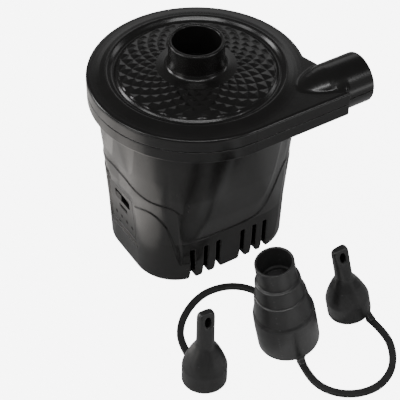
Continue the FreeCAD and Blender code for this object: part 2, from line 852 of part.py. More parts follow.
TERMINAL_DROP = 17.0


def brush_height():
    return d.rimBottom - d.motorLength + 5.0


def make_brushes():
    brushes = [
        centred_box("brush_%d" % index, 4.8, 3.0, 3.6, side * 7.65, 0, brush_height())
        for index, side in enumerate((-1, 1))
    ]
    node("motor_brushes", group("motor_brushes", brushes))
    arms = []
    for index, side in enumerate((-1, 1)):
        blade = centred_box("arm_blade_%d" % index, 0.5, 3.0, 10.0, side * 10.3, 0, brush_height() - 6.4)
        foot = centred_box("arm_foot_%d" % index, 3.2, 3.0, 0.5, side * 11.65, 0, brush_height() - 6.4)
        tab = centred_box("arm_tab_%d" % index, 0.8, 3.0, 10.6, side * 13.0, 0, brush_height() - TERMINAL_DROP)
        arms.append(fuse("brush_arm_%d" % index, [blade, foot, tab]))
    node("brush_arms", group("brush_arms", arms))


def make_motor_screws():
    screws = []
    for index, angle in enumerate((0, 180)):
        x, y = on_circle(MOTOR_SCREW_CIRCLE, angle)
        blank = screw("motor_screw_%d_up" % index, 2.6, 0.8, 1.48, 4.0, 0, 0, 0)
        turned = doc.addObject("Part::Compound", "motor_screw_%d" % index)
        turned.Links = [blank]
        screws.append(place(turned, x, y, d.rimBottom + d.skin + 0.8, (1, 0, 0), 180))
    node("motor_screws", group("motor_screws", screws))


# ---------------------------------------------------------------- rotor

POLES = 3


def make_shaft():
    bottom = d.rimBottom - d.motorLength - END_CAP - 2.2
    top = d.impellerBottom + d.impellerHeight
    node("motor_shaft", cylinder("motor_shaft", d.shaftRadius, top - bottom, z=bottom))


def make_armature():
    bottom = d.rimBottom - d.motorLength + 18
    stack = 30
    hub = ring("core_hub", 5.0, d.shaftRadius + 0.02, stack, z=bottom)
    pieces = [hub]
    coils = []
    for index in range(POLES):
        angle = 360 / POLES * index + 30
        neck = box("core_neck_%d_flat" % index, (4.4, -1.6, 0), (11.4, 1.6, stack))
        pieces.append(turned_copy(neck, "core_neck_%d" % index, angle, z=bottom))
        pieces.append(sector("core_shoe_%d" % index, 13.2, 11.2, stack, bottom, angle, 96))
        bundle = box("coil_bundle_%d" % index, (5.6, -3.9, -3), (10.2, 3.9, stack + 3))
        window = box("coil_window_%d" % index, (5, -1.65, -0.05), (11.5, 1.65, stack + 0.05))
        coil = cut("coil_%d_flat" % index, bundle, [window])
        coils.append(turned_copy(coil, "coil_%d" % index, angle, z=bottom))
    node("armature_core", fuse("armature_core", pieces))
    node("armature_windings", group("armature_windings", coils))


def make_commutator():
    bottom = d.rimBottom - d.motorLength + 3.5
    sleeve = ring("commutator_sleeve", 4.9, d.shaftRadius + 0.02, 8.0, z=bottom)
    riser = ring("commutator_riser", 5.6, d.shaftRadius + 0.02, 1.2, z=bottom + 8.0)
    gaps = []
    for index in range(POLES):
        gap = box("commutator_gap_%d_flat" % index, (4.2, -0.2, 0), (6.0, 0.2, 9.4))
        gaps.append(turned_copy(gap, "commutator_gap_%d" % index, 360 / POLES * index, z=bottom))
    node("commutator", cut("commutator", fuse("commutator_solid", [sleeve, riser]), gaps))


BLADES = 9
BLADE_CURVE = 24.0
BLADE_THICKNESS = 1.2
NUT_HEIGHT = 2.6


def make_impeller():
    plate = 1.4
    hub_top = d.impellerHeight - NUT_HEIGHT
    wheel = revolved(
        "impeller_wheel",
        [
            (d.shaftRadius + 0.02, 0),
            (d.impellerRadius, 0),
            (d.impellerRadius, plate),
            (8.0, plate),
            (5.0, hub_top),
            (d.shaftRadius + 0.02, hub_top),
        ],
    )
    place(wheel, 0, 0, d.impellerBottom)
    blade_height = d.impellerHeight - 0.3
    outer = cylinder("blade_outer", BLADE_CURVE, blade_height, sweep=84)
    inner = cylinder("blade_inner", BLADE_CURVE - BLADE_THICKNESS, blade_height, sweep=84)
    blade = cut("blade_arc", outer, [inner])
    room = ring("blade_room", d.impellerRadius - 0.2, 11.5, d.impellerHeight + 2, z=-1)
    arc = turned_copy(blade, "blade_arc_placed", -2, 7.2, -23.5, 0.1)
    trimmed = common("blade_trimmed", arc, room)
    blades = [
        turned_copy(trimmed, "blade_%d" % index, 360 / BLADES * index, z=d.impellerBottom)
        for index in range(BLADES)
    ]
    node("impeller", fuse("impeller", [wheel] + blades))


def make_impeller_nut():
    bottom = d.impellerBottom + d.impellerHeight - NUT_HEIGHT + 0.02
    prism = doc.addObject("Part::Prism", "nut_prism")
    prism.Polygon = 6
    prism.Circumradius = 3.6
    prism.Height = NUT_HEIGHT - 0.6
    place(prism, 0, 0, bottom)
    hole = cylinder("nut_hole", d.shaftRadius + 0.02, 4, z=bottom - 1)
    node("impeller_nut", cut("impeller_nut", prism, [hole]))


# ---------------------------------------------------------------- battery and wiring

def cell_spots():
    return [(d.cellOffset, d.cellPitch * side / 2) for side in (-1, 1)]


def make_battery():
    cells = []
    for index, (x, y) in enumerate(cell_spots()):
        can = cylinder("cell_can_%d" % index, d.cellRadius, d.cellLength, x, y, d.cellBottom)
        tip = cylinder("cell_tip_%d" % index, 3.0, 0.6, x, y, d.cellBottom + d.cellLength)
        cells.append(fuse("cell_%d" % index, [can, tip]))
    node("battery_cells", group("battery_cells", cells))
    top = d.cellBottom + d.cellLength
    tabs = [
        centred_box("top_tab", 4, d.cellPitch + 5, 0.3, d.cellOffset, 0, top + 0.6),
        centred_box("bottom_tab", 4, d.cellPitch + 5, 0.3, d.cellOffset, 0, d.cellBottom - 0.3),
    ]
    node("battery_tabs", group("battery_tabs", tabs))


def make_battery_holders():
    """Two saddles that clip round the cells and stand off the shell."""
    room = barrel("holder_room", d.shellWall + 0.3, 0, d.rimBottom)
    holders = []
    for index, bottom in enumerate((14, 56)):
        block = box("holder_block_%d" % index, (18.4, -20, bottom), (45, 20, bottom + 5))
        fitted = common("holder_fit_%d" % index, block, room)
        tools = [
            cylinder("holder_seat_%d_%d" % (index, side), d.cellRadius + 0.1, 7, x, y, bottom - 1)
            for side, (x, y) in enumerate(cell_spots())
        ]
        tools.append(cylinder("holder_relief_%d" % index, d.motorRadius + 0.3, 7, 0, 0, bottom - 1))
        holders.append(cut("battery_holder_%d" % index, fitted, tools))
    node("battery_holders", group("battery_holders", holders))


def wire(name, points, radius, bend):
    """A round wire along straight runs, with every corner rounded to one bend radius."""
    spots = [FreeCAD.Vector(*[number(value) for value in point]) for point in points]
    edges = []
    start = spots[0]
    for index in range(1, len(spots) - 1):
        corner = spots[index]
        back = (spots[index - 1] - corner).normalize()
        ahead = (spots[index + 1] - corner).normalize()
        half_turn = (math.pi - back.getAngle(ahead)) / 2
        reach = bend * math.tan(half_turn)
        first = corner + back * reach
        last = corner + ahead * reach
        middle = corner + (back + ahead).normalize() * (bend / math.cos(half_turn) - bend)
        edges.append(Part.makeLine(start, first))
        edges.append(Part.Arc(first, middle, last).toShape())
        start = last
    edges.append(Part.makeLine(start, spots[-1]))
    path = Part.Wire(edges)
    ring_edge = Part.makeCircle(radius, spots[0], spots[1] - spots[0])
    thing = doc.addObject("Part::Feature", name)
    thing.Shape = path.makePipeShell([Part.Wire([ring_edge])], True, False)
    return thing


WIRE_RADIUS = 0.7
WIRE_BEND = 2.0


def make_lead_wires():
    drop = brush_height() - TERMINAL_DROP - 0.05
    board = -BOARD_FACE + 1.6
    routes = [
        [(-13.0, 0, drop), (-13.0, 0, 8.0), (-24, -4, 8.0), (-28, -5, 18), (board, -5, 18)],
        [(13.0, 0, drop), (13.0, 0, 8.0), (-2, 10, 6.0), (-24, 11, 8.0), (-28, 12, 18), (board, 12, 18)],
    ]
    leads = [
        wire("motor_lead_%d" % index, route, WIRE_RADIUS, WIRE_BEND)
        for index, route in enumerate(routes)
    ]
    node("lead_wires", group("lead_wires", leads))


# ---------------------------------------------------------------- accessory nozzles

# Where each nozzle stands on the floor, and how its axis leans.
ADAPTER_SPOT = (-4.2, -88.8)
ADAPTER_LEAN = (-0.178, 0.042)
LEFT_SPOT = (-49.9, -87.7)
LEFT_LEAN = (0.042, 0.045)
RIGHT_SPOT = (30.6, -89.1)
RIGHT_LEAN = (-0.167, 0.098)
SOCKET_DEPTH = 8.6
PORT_WIDTH = 3.4
PORT_HEIGHT = 5.2
PORT_DROP = 9.6


def stand(thing, spot, lean, foot_radius, along=0):
    """Stands a nozzle on the floor with its axis leaning, its lowest edge just on the floor."""
    axis = FreeCAD.Vector(lean[0], lean[1], 1).normalize()
    turn = FreeCAD.Rotation(FreeCAD.Vector(0, 0, 1), axis)
    lift = number(foot_radius) * math.sqrt(1 - axis.z ** 2)
    foot = FreeCAD.Vector(spot[0], spot[1], lift) + axis * along
    thing.Placement = FreeCAD.Placement(foot, turn)
    return thing


def make_adapter():
    """A stepped cone, hollow all through, that fits over the inlet or outlet collar."""
    wall = 1.3
    step_1 = 12.0
    step_2 = 21.3
    step_3 = 33.4
    foot = d.adapterRadius
    body = revolved(
        "adapter_turned",
        [
            (d.adapterBore, 0),
            (foot, 0),
            (foot, step_1),
            (foot - 0.4, step_2 - 0.6),
            (foot - 1.0, step_2),
            (d.adapterTip + 2.9, step_3 - 0.6),
            (d.adapterTip + 2.2, step_3),
            (d.adapterTip + 1.4, 42.0),
            (d.adapterTip + 0.7, 42.6),
            (d.adapterTip, 42.8),
            (d.adapterTip, d.adapterHeight - 0.3),
            (d.adapterTip - 0.3, d.adapterHeight),
            (d.adapterTip - wall + 0.3, d.adapterHeight),
            (d.adapterTip - wall, d.adapterHeight - 0.3),
            (d.adapterTip - wall, 42.0),
            (d.adapterTip - wall + 0.8, step_3 - 2.0),
            (d.adapterTip + 0.7, step_2 - 1.0),
            (d.adapterBore - 1.6, 15.6),
            (d.adapterBore, 14.0),
        ],
    )
    stand(body, ADAPTER_SPOT, ADAPTER_LEAN, foot)
    lugs = [
        lug("adapter_lug_%d" % index, route[0], heading_of(route[1], route[0]), 3.9, 5.4)
        for index, route in enumerate((LEFT_ROUTE, RIGHT_ROUTE))
    ]
    hollow = cylinder("adapter_hollow", d.adapterBore, 14.0)
    stand(hollow, ADAPTER_SPOT, ADAPTER_LEAN, foot)
    solid = cut("adapter_nozzle", fuse("adapter_solid", [body] + lugs), [hollow])
    node("adapter_nozzle", solid)


def lug(name, tip, heading, length, height):
    """The tab at a nozzle's foot that a strap is moulded to, from its tip towards the nozzle."""
    thing = doc.addObject("Part::Box", name)
    thing.Length = length
    bind(thing, "Width", d.strapWidth)
    thing.Height = height
    turn = FreeCAD.Rotation(FreeCAD.Vector(0, 0, 1), heading)
    side = turn.multVec(FreeCAD.Vector(0, -number(d.strapWidth) / 2, 0))
    thing.Placement = FreeCAD.Placement(FreeCAD.Vector(tip[0], tip[1], 0) + side, turn)
    return thing


def heading_of(start, end):
    """The direction from one point to another on the floor, in degrees."""
    return math.degrees(math.atan2(end[1] - start[1], end[0] - start[0]))


def make_small_nozzle(name, spot, lean, route, lug_height, quarter):
    """A pinch-valve nozzle: a cup with a narrow stem whose slanted tip has a side hole."""
    rim = 9.0
    neck = 22.4
    body = revolved(
        name + "_turned",
        [
            (0, 13.0),
            (d.smallBore - 2.0, 11.0),
            (d.smallBore, SOCKET_DEPTH),
            (d.smallBore, 0),
            (d.smallRadius, 0),
            (d.smallRadius, rim),
            (d.smallRadius - 1.2, 12.6),
            (7.2, 17.6),
            (4.7, 20.8),
            (4.15, neck),
            (4.0, d.smallHeight - 1.8),
            (2.6, d.smallHeight),
            (0, d.smallHeight),
        ],
    )
    stand(body, spot, lean, d.smallRadius)
    channel = cylinder(name + "_channel", 2.0, d.smallHeight - 5.4)
    stand(channel, spot, lean, d.smallRadius)
    tab = lug(name + "_lug", route[-1], heading_of(route[-2], route[-1]), 3.5, lug_height)
    hollow = cylinder(name + "_hollow", d.smallBore, SOCKET_DEPTH)
    stand(hollow, spot, lean, d.smallRadius)
    way_in = cylinder(name + "_way_in", d.smallBore + 0.3, SOCKET_DEPTH)
    stand(way_in, spot, lean, d.smallRadius, -SOCKET_DEPTH)
    port = box(name + "_port", (0, 0, 0), (PORT_WIDTH, 6.0, PORT_HEIGHT))
    port.Placement = port_placement(spot, lean, quarter)
    nozzle = cut(name + "_cut", fuse(name + "_solid", [body, tab]), [channel, hollow, way_in, port])
    node(name, nozzle)


def port_placement(spot, lean, quarter):
    """Puts the side hole near the top of a stem, facing an angle about the stem."""
    axis = FreeCAD.Vector(lean[0], lean[1], 1).normalize()
    tilt = FreeCAD.Rotation(FreeCAD.Vector(0, 0, 1), axis)
    lift = number(d.smallRadius) * math.sqrt(1 - axis.z ** 2)
    turn = tilt.multiply(FreeCAD.Rotation(FreeCAD.Vector(0, 0, 1), quarter))
    corner = turn.multVec(FreeCAD.Vector(-PORT_WIDTH / 2, 0.6, number(d.smallHeight) - PORT_DROP))
    return FreeCAD.Placement(FreeCAD.Vector(spot[0], spot[1], lift) + corner, turn)


# The straps lie flat on the floor. Each route runs from the adapter's tab to a small nozzle's.
LEFT_ROUTE = [
    (-0.6, -71.8), (1.3, -62.9), (-0.6, -54.9), (-5.8, -48.3), (-13.5, -44.4), (-23.5, -43.7),
    (-34.0, -48.0), (-43.0, -55.2), (-48.5, -64.6), (-49.5, -74.7),
]
RIGHT_ROUTE = [
    (-7.8, -105.8), (-9.3, -113.2), (-8.0, -121.4), (-3.0, -128.4), (5.0, -133.0), (15.0, -133.9),
    (25.0, -129.6), (32.2, -121.3), (36.2, -111.0), (35.6, -101.0),
]
BEND_SHARE = 0.45


def band_path(route):
    """Straight runs joined by tangent arcs, each as large as its two runs allow."""
    spots = [FreeCAD.Vector(x, y, 0) for x, y in route]
    pieces = []
    radii = []
    start = spots[0]
    for index in range(1, len(spots) - 1):
        corner = spots[index]
        back = spots[index - 1] - corner
        ahead = spots[index + 1] - corner
        reach = BEND_SHARE * min(back.Length, ahead.Length)
        back.normalize()
        ahead.normalize()
        half_turn = (math.pi - back.getAngle(ahead)) / 2
        radius = reach / math.tan(half_turn)
        centre = corner + (back + ahead).normalize() * (radius / math.cos(half_turn))
        first = corner + back * reach
        last = corner + ahead * reach
        pieces.append(("run", start, first, None))
        pieces.append(("arc", first, last, centre))
        radii.append(radius)
        start = last
    pieces.append(("run", start, spots[-1], None))
    return pieces, radii


def edge_beside(piece, offset):
    """The edge that runs beside one piece of a path, offset to its left or right."""
    kind, start, end, centre = piece
    if kind == "run":
        across = FreeCAD.Vector(start.y - end.y, end.x - start.x, 0).normalize() * offset
        return Part.makeLine(start + across, end + across)
    radius = (start - centre).Length
    turns_left = (start - centre).cross(end - centre).z > 0
    scale = (radius - offset if turns_left else radius + offset) / radius
    halfway = ((start - centre) + (end - centre)).normalize() * radius
    first, middle, last = [centre + arm * scale for arm in (start - centre, halfway, end - centre)]
    return Part.Arc(first, middle, last).toShape()


def make_strap(name, route):
    """A flat band that lies on the floor along its route."""
    width = number(d.strapWidth)
    thickness = number(d.strapThickness)
    pieces, radii = band_path(route)
    left = [edge_beside(piece, width / 2) for piece in pieces]
    right = [edge_beside(piece, -width / 2) for piece in pieces]
    start_cap = Part.makeLine(left[0].Vertexes[0].Point, right[0].Vertexes[0].Point)
    end_cap = Part.makeLine(left[-1].Vertexes[-1].Point, right[-1].Vertexes[-1].Point)
    edges = Part.__sortEdges__(left + [end_cap] + right + [start_cap])
    face = Part.Face(Part.Wire(edges))
    thing = doc.addObject("Part::Feature", name)
    thing.Shape = face.extrude(FreeCAD.Vector(0, 0, thickness))
    length = sum(piece_length(piece) for piece in pieces)
    print("%s: length %.1f mm, smallest bend radius %.1f mm" % (name, length, min(radii)))
    expected = width * thickness * length
    print("%s: volume %.1f, section times length %.1f" % (name, thing.Shape.Volume, expected))
    node(name, thing)


def piece_length(piece):
    kind, start, end, centre = piece
    if kind == "run":
        return (end - start).Length
    return (start - centre).Length * (start - centre).getAngle(end - centre)


# ---------------------------------------------------------------- the whole pump

make_casing()
make_seal()
make_cover_screws()
make_inlet_guard()
make_body_shell()
make_shell_screws()
make_base_cover()
make_base_screws()
make_control_panel()
make_circuit_board()
make_switch()
make_charge_socket()
make_indicator_lights()
make_motor_can()
make_motor_end_cap()
make_motor_magnets()
make_bearings()
make_brushes()
make_motor_screws()
make_shaft()
make_armature()
make_commutator()
make_impeller()
make_impeller_nut()
make_battery()
make_battery_holders()
make_lead_wires()
make_adapter()
make_small_nozzle("small_nozzle_left", LEFT_SPOT, LEFT_LEAN, LEFT_ROUTE, 3.6, 165)
make_small_nozzle("small_nozzle_right", RIGHT_SPOT, RIGHT_LEAN, RIGHT_ROUTE, 6.2, 198)
make_strap("strap_left", LEFT_ROUTE)
make_strap("strap_right", RIGHT_ROUTE)

doc.recompute()

os.makedirs("parts", exist_ok=True)
faults = [thing.Name for thing in doc.Objects if set(thing.State) & {"Invalid", "Error"}]
for thing in node_objects:
    if thing.Shape.isNull() or not thing.Shape.isValid() or not thing.Shape.Solids:
        faults.append(thing.Label)
if faults:
    raise SystemExit("failed objects: " + ", ".join(faults))
for thing in node_objects:
    thing.Shape.exportStep("parts/%s.step" % thing.Label)
print("%d nodes" % len(node_objects))
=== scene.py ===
import math

import bpy
import numpy as np
from mathutils import Matrix, Vector


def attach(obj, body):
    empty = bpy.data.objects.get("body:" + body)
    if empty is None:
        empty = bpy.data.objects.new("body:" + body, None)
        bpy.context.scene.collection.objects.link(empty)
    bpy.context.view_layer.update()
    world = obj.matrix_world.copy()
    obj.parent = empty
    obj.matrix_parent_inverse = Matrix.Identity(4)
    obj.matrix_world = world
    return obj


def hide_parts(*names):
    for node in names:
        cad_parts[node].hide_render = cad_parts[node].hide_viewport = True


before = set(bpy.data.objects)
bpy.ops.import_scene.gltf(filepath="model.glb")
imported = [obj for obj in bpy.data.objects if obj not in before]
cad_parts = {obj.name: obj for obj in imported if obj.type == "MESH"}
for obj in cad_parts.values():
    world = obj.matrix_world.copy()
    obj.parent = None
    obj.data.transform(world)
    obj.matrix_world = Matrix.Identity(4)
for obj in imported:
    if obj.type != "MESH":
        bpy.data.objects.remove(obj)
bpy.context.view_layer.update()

# Electric air mattress pump. Lengths in this script are in millimetres unless a name says otherwise;
# every mesh is written in metres. +Z is up, +X is the way the air leaves.

MM = 0.001

# ---------------------------------------------------------------- sizes shared with the CAD model

LID_RADIUS = 51.0
LID_TOP = 98.7
SEAM = 92.1
RIM_BOTTOM = 85.8
SKIN = 2.4
CHAMBER_RADIUS = 44.0
OUTLET_Y = -36.4
SHELL_WALL = 2.4
SLOT_SPOTS = (-21.4, -14.3, -7.3, 6.7, 13.5, 19.5)
SLOT_WIDTH = 2.1
SLOT_HEIGHT = 19.4
TOOTH_INSIDE = 27.2
PANEL_Y = (-8.2, 13.6)
PANEL_Z = (16.8, 41.6)
SWITCH_Y = 1.8
SWITCH_Z = 36.0
SOCKET_Y = 2.0
SOCKET_Z = 29.2
LIGHT_Z = 21.8
LIGHT_PITCH = 5.0
COVER_SCREW_ANGLES = (15, 75, 135, 195, 250)
COVER_SCREW_CIRCLE = 47.6
SHELL_SCREW_CIRCLE = 41.0
BASE_SCREW_SPOTS = ((-24.5, -16), (-24.5, 16), (10.5, -22.5), (10.5, 22.5))
STRAP_WIDTH = 3.4
STRAP_THICKNESS = 2.0
STRAP_ROUNDING = 0.42
STRAP_OVERLAP = 0.7

# Height, half length, half width and corner radius of the body shell's sections.
SHELL_SECTIONS = np.array([
    (0, 40.0, 31.8, 21.6),
    (25, 40.9, 32.9, 22.8),
    (56, 43.0, 39.9, 32.0),
    (85.8, 46.2, 46.2, 45.0),
])

ADAPTER_SPOT = (-4.2, -88.8)
ADAPTER_LEAN = (-0.178, 0.042)
ADAPTER_RADIUS = 14.5
LEFT_SPOT = (-49.9, -87.7)
LEFT_LEAN = (0.042, 0.045)
RIGHT_SPOT = (30.6, -89.1)
RIGHT_LEAN = (-0.167, 0.098)
SMALL_RADIUS = 10.4
LEFT_ROUTE = [
    (-0.6, -71.8), (1.3, -62.9), (-0.6, -54.9), (-5.8, -48.3), (-13.5, -44.4), (-23.5, -43.7),
    (-34.0, -48.0), (-43.0, -55.2), (-48.5, -64.6), (-49.5, -74.7),
]
RIGHT_ROUTE = [
    (-7.8, -105.8), (-9.3, -113.2), (-8.0, -121.4), (-3.0, -128.4), (5.0, -133.0), (15.0, -133.9),
    (25.0, -129.6), (32.2, -121.3), (36.2, -111.0), (35.6, -101.0),
]
LEFT_STRAP_LENGTH = 0.0874
RIGHT_STRAP_LENGTH = 0.0856


# ---------------------------------------------------------------- camera

CAMERA_SPOT = (-259.686, -417.799, 474.385)
CAMERA_ANGLES = (-32.088, 42.926, 0.3095)
CAMERA_LENS = 120.64
SENSOR_WIDTH = 36


def make_camera():
    """The camera, from its azimuth, elevation and roll in degrees."""
    azimuth, elevation, roll = (math.radians(angle) for angle in CAMERA_ANGLES)
    back = Vector((
        math.sin(azimuth) * math.cos(elevation),
        -math.cos(azimuth) * math.cos(elevation),
        math.sin(elevation),
    ))
    level = Vector((math.cos(azimuth), math.sin(azimuth), 0))
    rise = back.cross(level)
    right = level * math.cos(roll) + rise * math.sin(roll)
    up = rise * math.cos(roll) - level * math.sin(roll)
    spot = Vector(CAMERA_SPOT) * MM
    data = bpy.data.cameras.new("camera")
    data.sensor_width = SENSOR_WIDTH
    data.lens = CAMERA_LENS
    data.clip_start = 0.01
    data.clip_end = 20
    camera = bpy.data.objects.new("camera", data)
    camera.matrix_world = Matrix((
        (right.x, up.x, back.x, spot.x),
        (right.y, up.y, back.y, spot.y),
        (right.z, up.z, back.z, spot.z),
        (0, 0, 0, 1),
    ))
    bpy.context.scene.collection.objects.link(camera)
    bpy.context.scene.camera = camera


# ---------------------------------------------------------------- materials

def add_node(tree, kind, **inputs):
    """A shader node whose sockets are set by name, with spaces written as underscores."""
    made = tree.nodes.new(kind)
    for name, value in inputs.items():
        made.inputs[name.replace("_", " ")].default_value = value
    return made


def noise(tree, coordinates, size, detail=3.0, roughness=0.6):
    """Noise whose features are about a size across, in millimetres."""
    made = add_node(tree, "ShaderNodeTexNoise", Scale=1 / (size * MM), Detail=detail, Roughness=roughness)
    tree.links.new(coordinates, made.inputs["Vector"])
    return made.outputs["Fac"]


def spread(tree, factor, low, high, start=0.3, end=0.7):
    """A value that goes from low to high as the factor goes from start to end."""
    made = add_node(tree, "ShaderNodeMapRange", From_Min=start, From_Max=end, To_Min=low, To_Max=high)
    tree.links.new(factor, made.inputs["Value"])
    return made.outputs["Result"]


def blended(tree, factor, first, second):
    """A colour that goes from the first to the second with the factor."""
    made = tree.nodes.new("ShaderNodeMix")
    made.data_type = "RGBA"
    made.inputs["A"].default_value = (*first, 1)
    made.inputs["B"].default_value = (*second, 1)
    tree.links.new(factor, made.inputs["Factor"])
    return made.outputs["Result"]


def bumped(tree, factor, depth, below=None):
    """A bump of a depth in millimetres, on top of another bump where there is one."""
    made = add_node(tree, "ShaderNodeBump", Strength=1.0, Distance=depth * MM)
    tree.links.new(factor, made.inputs["Height"])
    if below is not None:
        tree.links.new(below, made.inputs["Normal"])
    return made.outputs["Normal"]


def new_material(name):
    """A material with its node tree, its shader and the object coordinates to build it from."""
    material = bpy.data.materials.new(name)
    material.use_nodes = True
    tree = material.node_tree
    shader = tree.nodes["Principled BSDF"]
    coordinates = tree.nodes.new("ShaderNodeTexCoord").outputs["Object"]
    return material, tree, shader, coordinates


# How much the painted edge highlight lightens the colour of convex edges.
EDGE_HIGHLIGHT_GAIN = 2.2
WAVE_SIZE = 16
WAVE_DEPTH = 0.015


def moulded(name, dark, light, roughness, grain=0.5, grain_depth=0.012, specular=0.35):
    """Moulded plastic: a spark-eroded grain, slow waviness, uneven gloss, and a painted highlight that
    lightens the colour of convex edges in patches.
    """
    material, tree, shader, coordinates = new_material(name)
    clouds = noise(tree, coordinates, 14, 4)
    specks = noise(tree, coordinates, grain, 2)
    scuff_and_highlight_noise = noise(tree, coordinates, 3.2, 6, 0.72)
    body = blended(tree, spread(tree, clouds, 0, 1), dark, light)
    # Painted highlight: convex edges, found by pointiness, get a lighter base colour in noisy patches.
    painted_edge_highlight = tree.nodes.new("ShaderNodeMix")
    painted_edge_highlight.data_type = "RGBA"
    painted_edge_highlight.inputs["B"].default_value = (*[min(1, value * EDGE_HIGHLIGHT_GAIN + 0.01) for value in light], 1)
    edges = tree.nodes.new("ShaderNodeNewGeometry").outputs["Pointiness"]
    edge_highlight_mask = tree.nodes.new("ShaderNodeMath")
    edge_highlight_mask.operation = "MULTIPLY"
    tree.links.new(spread(tree, edges, 0, 0.6, 0.51, 0.6), edge_highlight_mask.inputs[0])
    tree.links.new(spread(tree, scuff_and_highlight_noise, 0.3, 1), edge_highlight_mask.inputs[1])
    tree.links.new(body, painted_edge_highlight.inputs["A"])
    tree.links.new(edge_highlight_mask.outputs["Value"], painted_edge_highlight.inputs["Factor"])
    tree.links.new(painted_edge_highlight.outputs["Result"], shader.inputs["Base Color"])
    gloss = spread(tree, scuff_and_highlight_noise, roughness - 0.012, roughness + 0.018)
    tree.links.new(gloss, shader.inputs["Roughness"])
    waves = bumped(tree, noise(tree, coordinates, WAVE_SIZE, 0), WAVE_DEPTH)
    tree.links.new(bumped(tree, specks, grain_depth, waves), shader.inputs["Normal"])
    shader.inputs["Specular IOR Level"].default_value = specular
    return material


def metal(name, dark, light, roughness, streak=0.4, depth=0.004):
    """Bare metal with fine drawn marks and uneven tarnish."""
    material, tree, shader, coordinates = new_material(name)
    tarnish = noise(tree, coordinates, 5, 5)
    marks = noise(tree, coordinates, streak, 3)
    tree.links.new(blended(tree, spread(tree, tarnish, 0, 1), dark, light), shader.inputs["Base Color"])
    tree.links.new(spread(tree, marks, roughness - 0.08, roughness + 0.1), shader.inputs["Roughness"])
    tree.links.new(bumped(tree, marks, depth), shader.inputs["Normal"])
    shader.inputs["Metallic"].default_value = 1.0
    return material


def soft_plastic(name, dark, light, roughness, grain=0.8, depth=0.02, specular=0.4):
    """Rubber, wrap, lacquer and other non-metals without the painted edge highlight."""
    material, tree, shader, coordinates = new_material(name)
    clouds = noise(tree, coordinates, 6, 4)
    specks = noise(tree, coordinates, grain, 3)
    tree.links.new(blended(tree, spread(tree, clouds, 0, 1), dark, light), shader.inputs["Base Color"])
    tree.links.new(spread(tree, specks, roughness - 0.06, roughness + 0.08), shader.inputs["Roughness"])
    tree.links.new(bumped(tree, specks, depth), shader.inputs["Normal"])
    shader.inputs["Specular IOR Level"].default_value = specular
    return material


def grey(value, warmth=0.0):
    """A nearly neutral colour, warmer with a positive warmth."""
    return (value * (1 + warmth), value, value * (1 - warmth))


# The numbers are roughness, then the size and depth of the grain, drawn marks or specks in millimetres,
# then the specular level.
MATERIALS = {
    "cover_plastic": moulded("lid_black", grey(0.007, 0.04), grey(0.011, 0.04), 0.23, 0.45, 0.002, 0.5),
    "shell_plastic": moulded("shell_black", grey(0.010, 0.05), grey(0.015, 0.05), 0.25, 0.5, 0.002, 0.5),
    "panel_plastic": moulded("panel_black", grey(0.010, 0.03), grey(0.015, 0.03), 0.34, 0.35, 0.004, 0.5),
    "nozzle_plastic": moulded("nozzle_black", grey(0.026), grey(0.036), 0.33, 0.6, 0.004, 0.5),
    "strap_rubber": soft_plastic("strap_rubber", grey(0.020), grey(0.032), 0.5, 0.7, 0.008, 0.4),
    "seal_rubber": soft_plastic("seal_rubber", grey(0.02), grey(0.03), 0.6),
    "impeller_plastic": moulded("impeller_black", grey(0.014), grey(0.022), 0.5),
    "end_cap_plastic": soft_plastic("end_cap_white", (0.62, 0.6, 0.54), (0.72, 0.7, 0.64), 0.45),
    "screw_steel": metal("screw_steel", grey(0.42), grey(0.56), 0.32),
    "motor_steel": metal("can_steel", grey(0.5), grey(0.62), 0.3, 0.8),
    "shaft_steel": metal("shaft_steel", grey(0.55), grey(0.66), 0.22),
    "core_steel": metal("core_steel", grey(0.22), grey(0.34), 0.42, 0.3, 0.02),
    "magnet": soft_plastic("magnet_ferrite", grey(0.04), grey(0.07), 0.6, 0.5, 0.03),
    "winding_copper": metal("winding_copper", (0.6, 0.24, 0.1), (0.78, 0.36, 0.17), 0.3, 0.5, 0.06),
    "contact_brass": metal("contact_brass", (0.62, 0.45, 0.18), (0.78, 0.6, 0.28), 0.3),
    "bearing_bronze": metal("bearing_bronze", (0.5, 0.33, 0.15), (0.64, 0.44, 0.22), 0.38),
    "carbon": soft_plastic("brush_carbon", grey(0.02), grey(0.04), 0.5, 0.3, 0.02),
    "board": soft_plastic("board_green", (0.01, 0.09, 0.035), (0.015, 0.13, 0.05), 0.4, 1.2, 0.03),
    "cell_wrap": soft_plastic("cell_wrap", (0.02, 0.1, 0.3), (0.03, 0.14, 0.38), 0.35, 2.0, 0.02),
    "nickel": metal("nickel", grey(0.6, 0.03), grey(0.72, 0.03), 0.26),
    # Painted shade: the indicator lenses are coloured nearly black to stand for the shade in their recessed
    # holes.
    "lens": soft_plastic("lens_dark_painted_shade", grey(0.003), grey(0.006), 0.45, 0.6, 0.004, 0.15),
    "wire_red": soft_plastic("wire_red", (0.35, 0.015, 0.012), (0.48, 0.025, 0.02), 0.4),
}

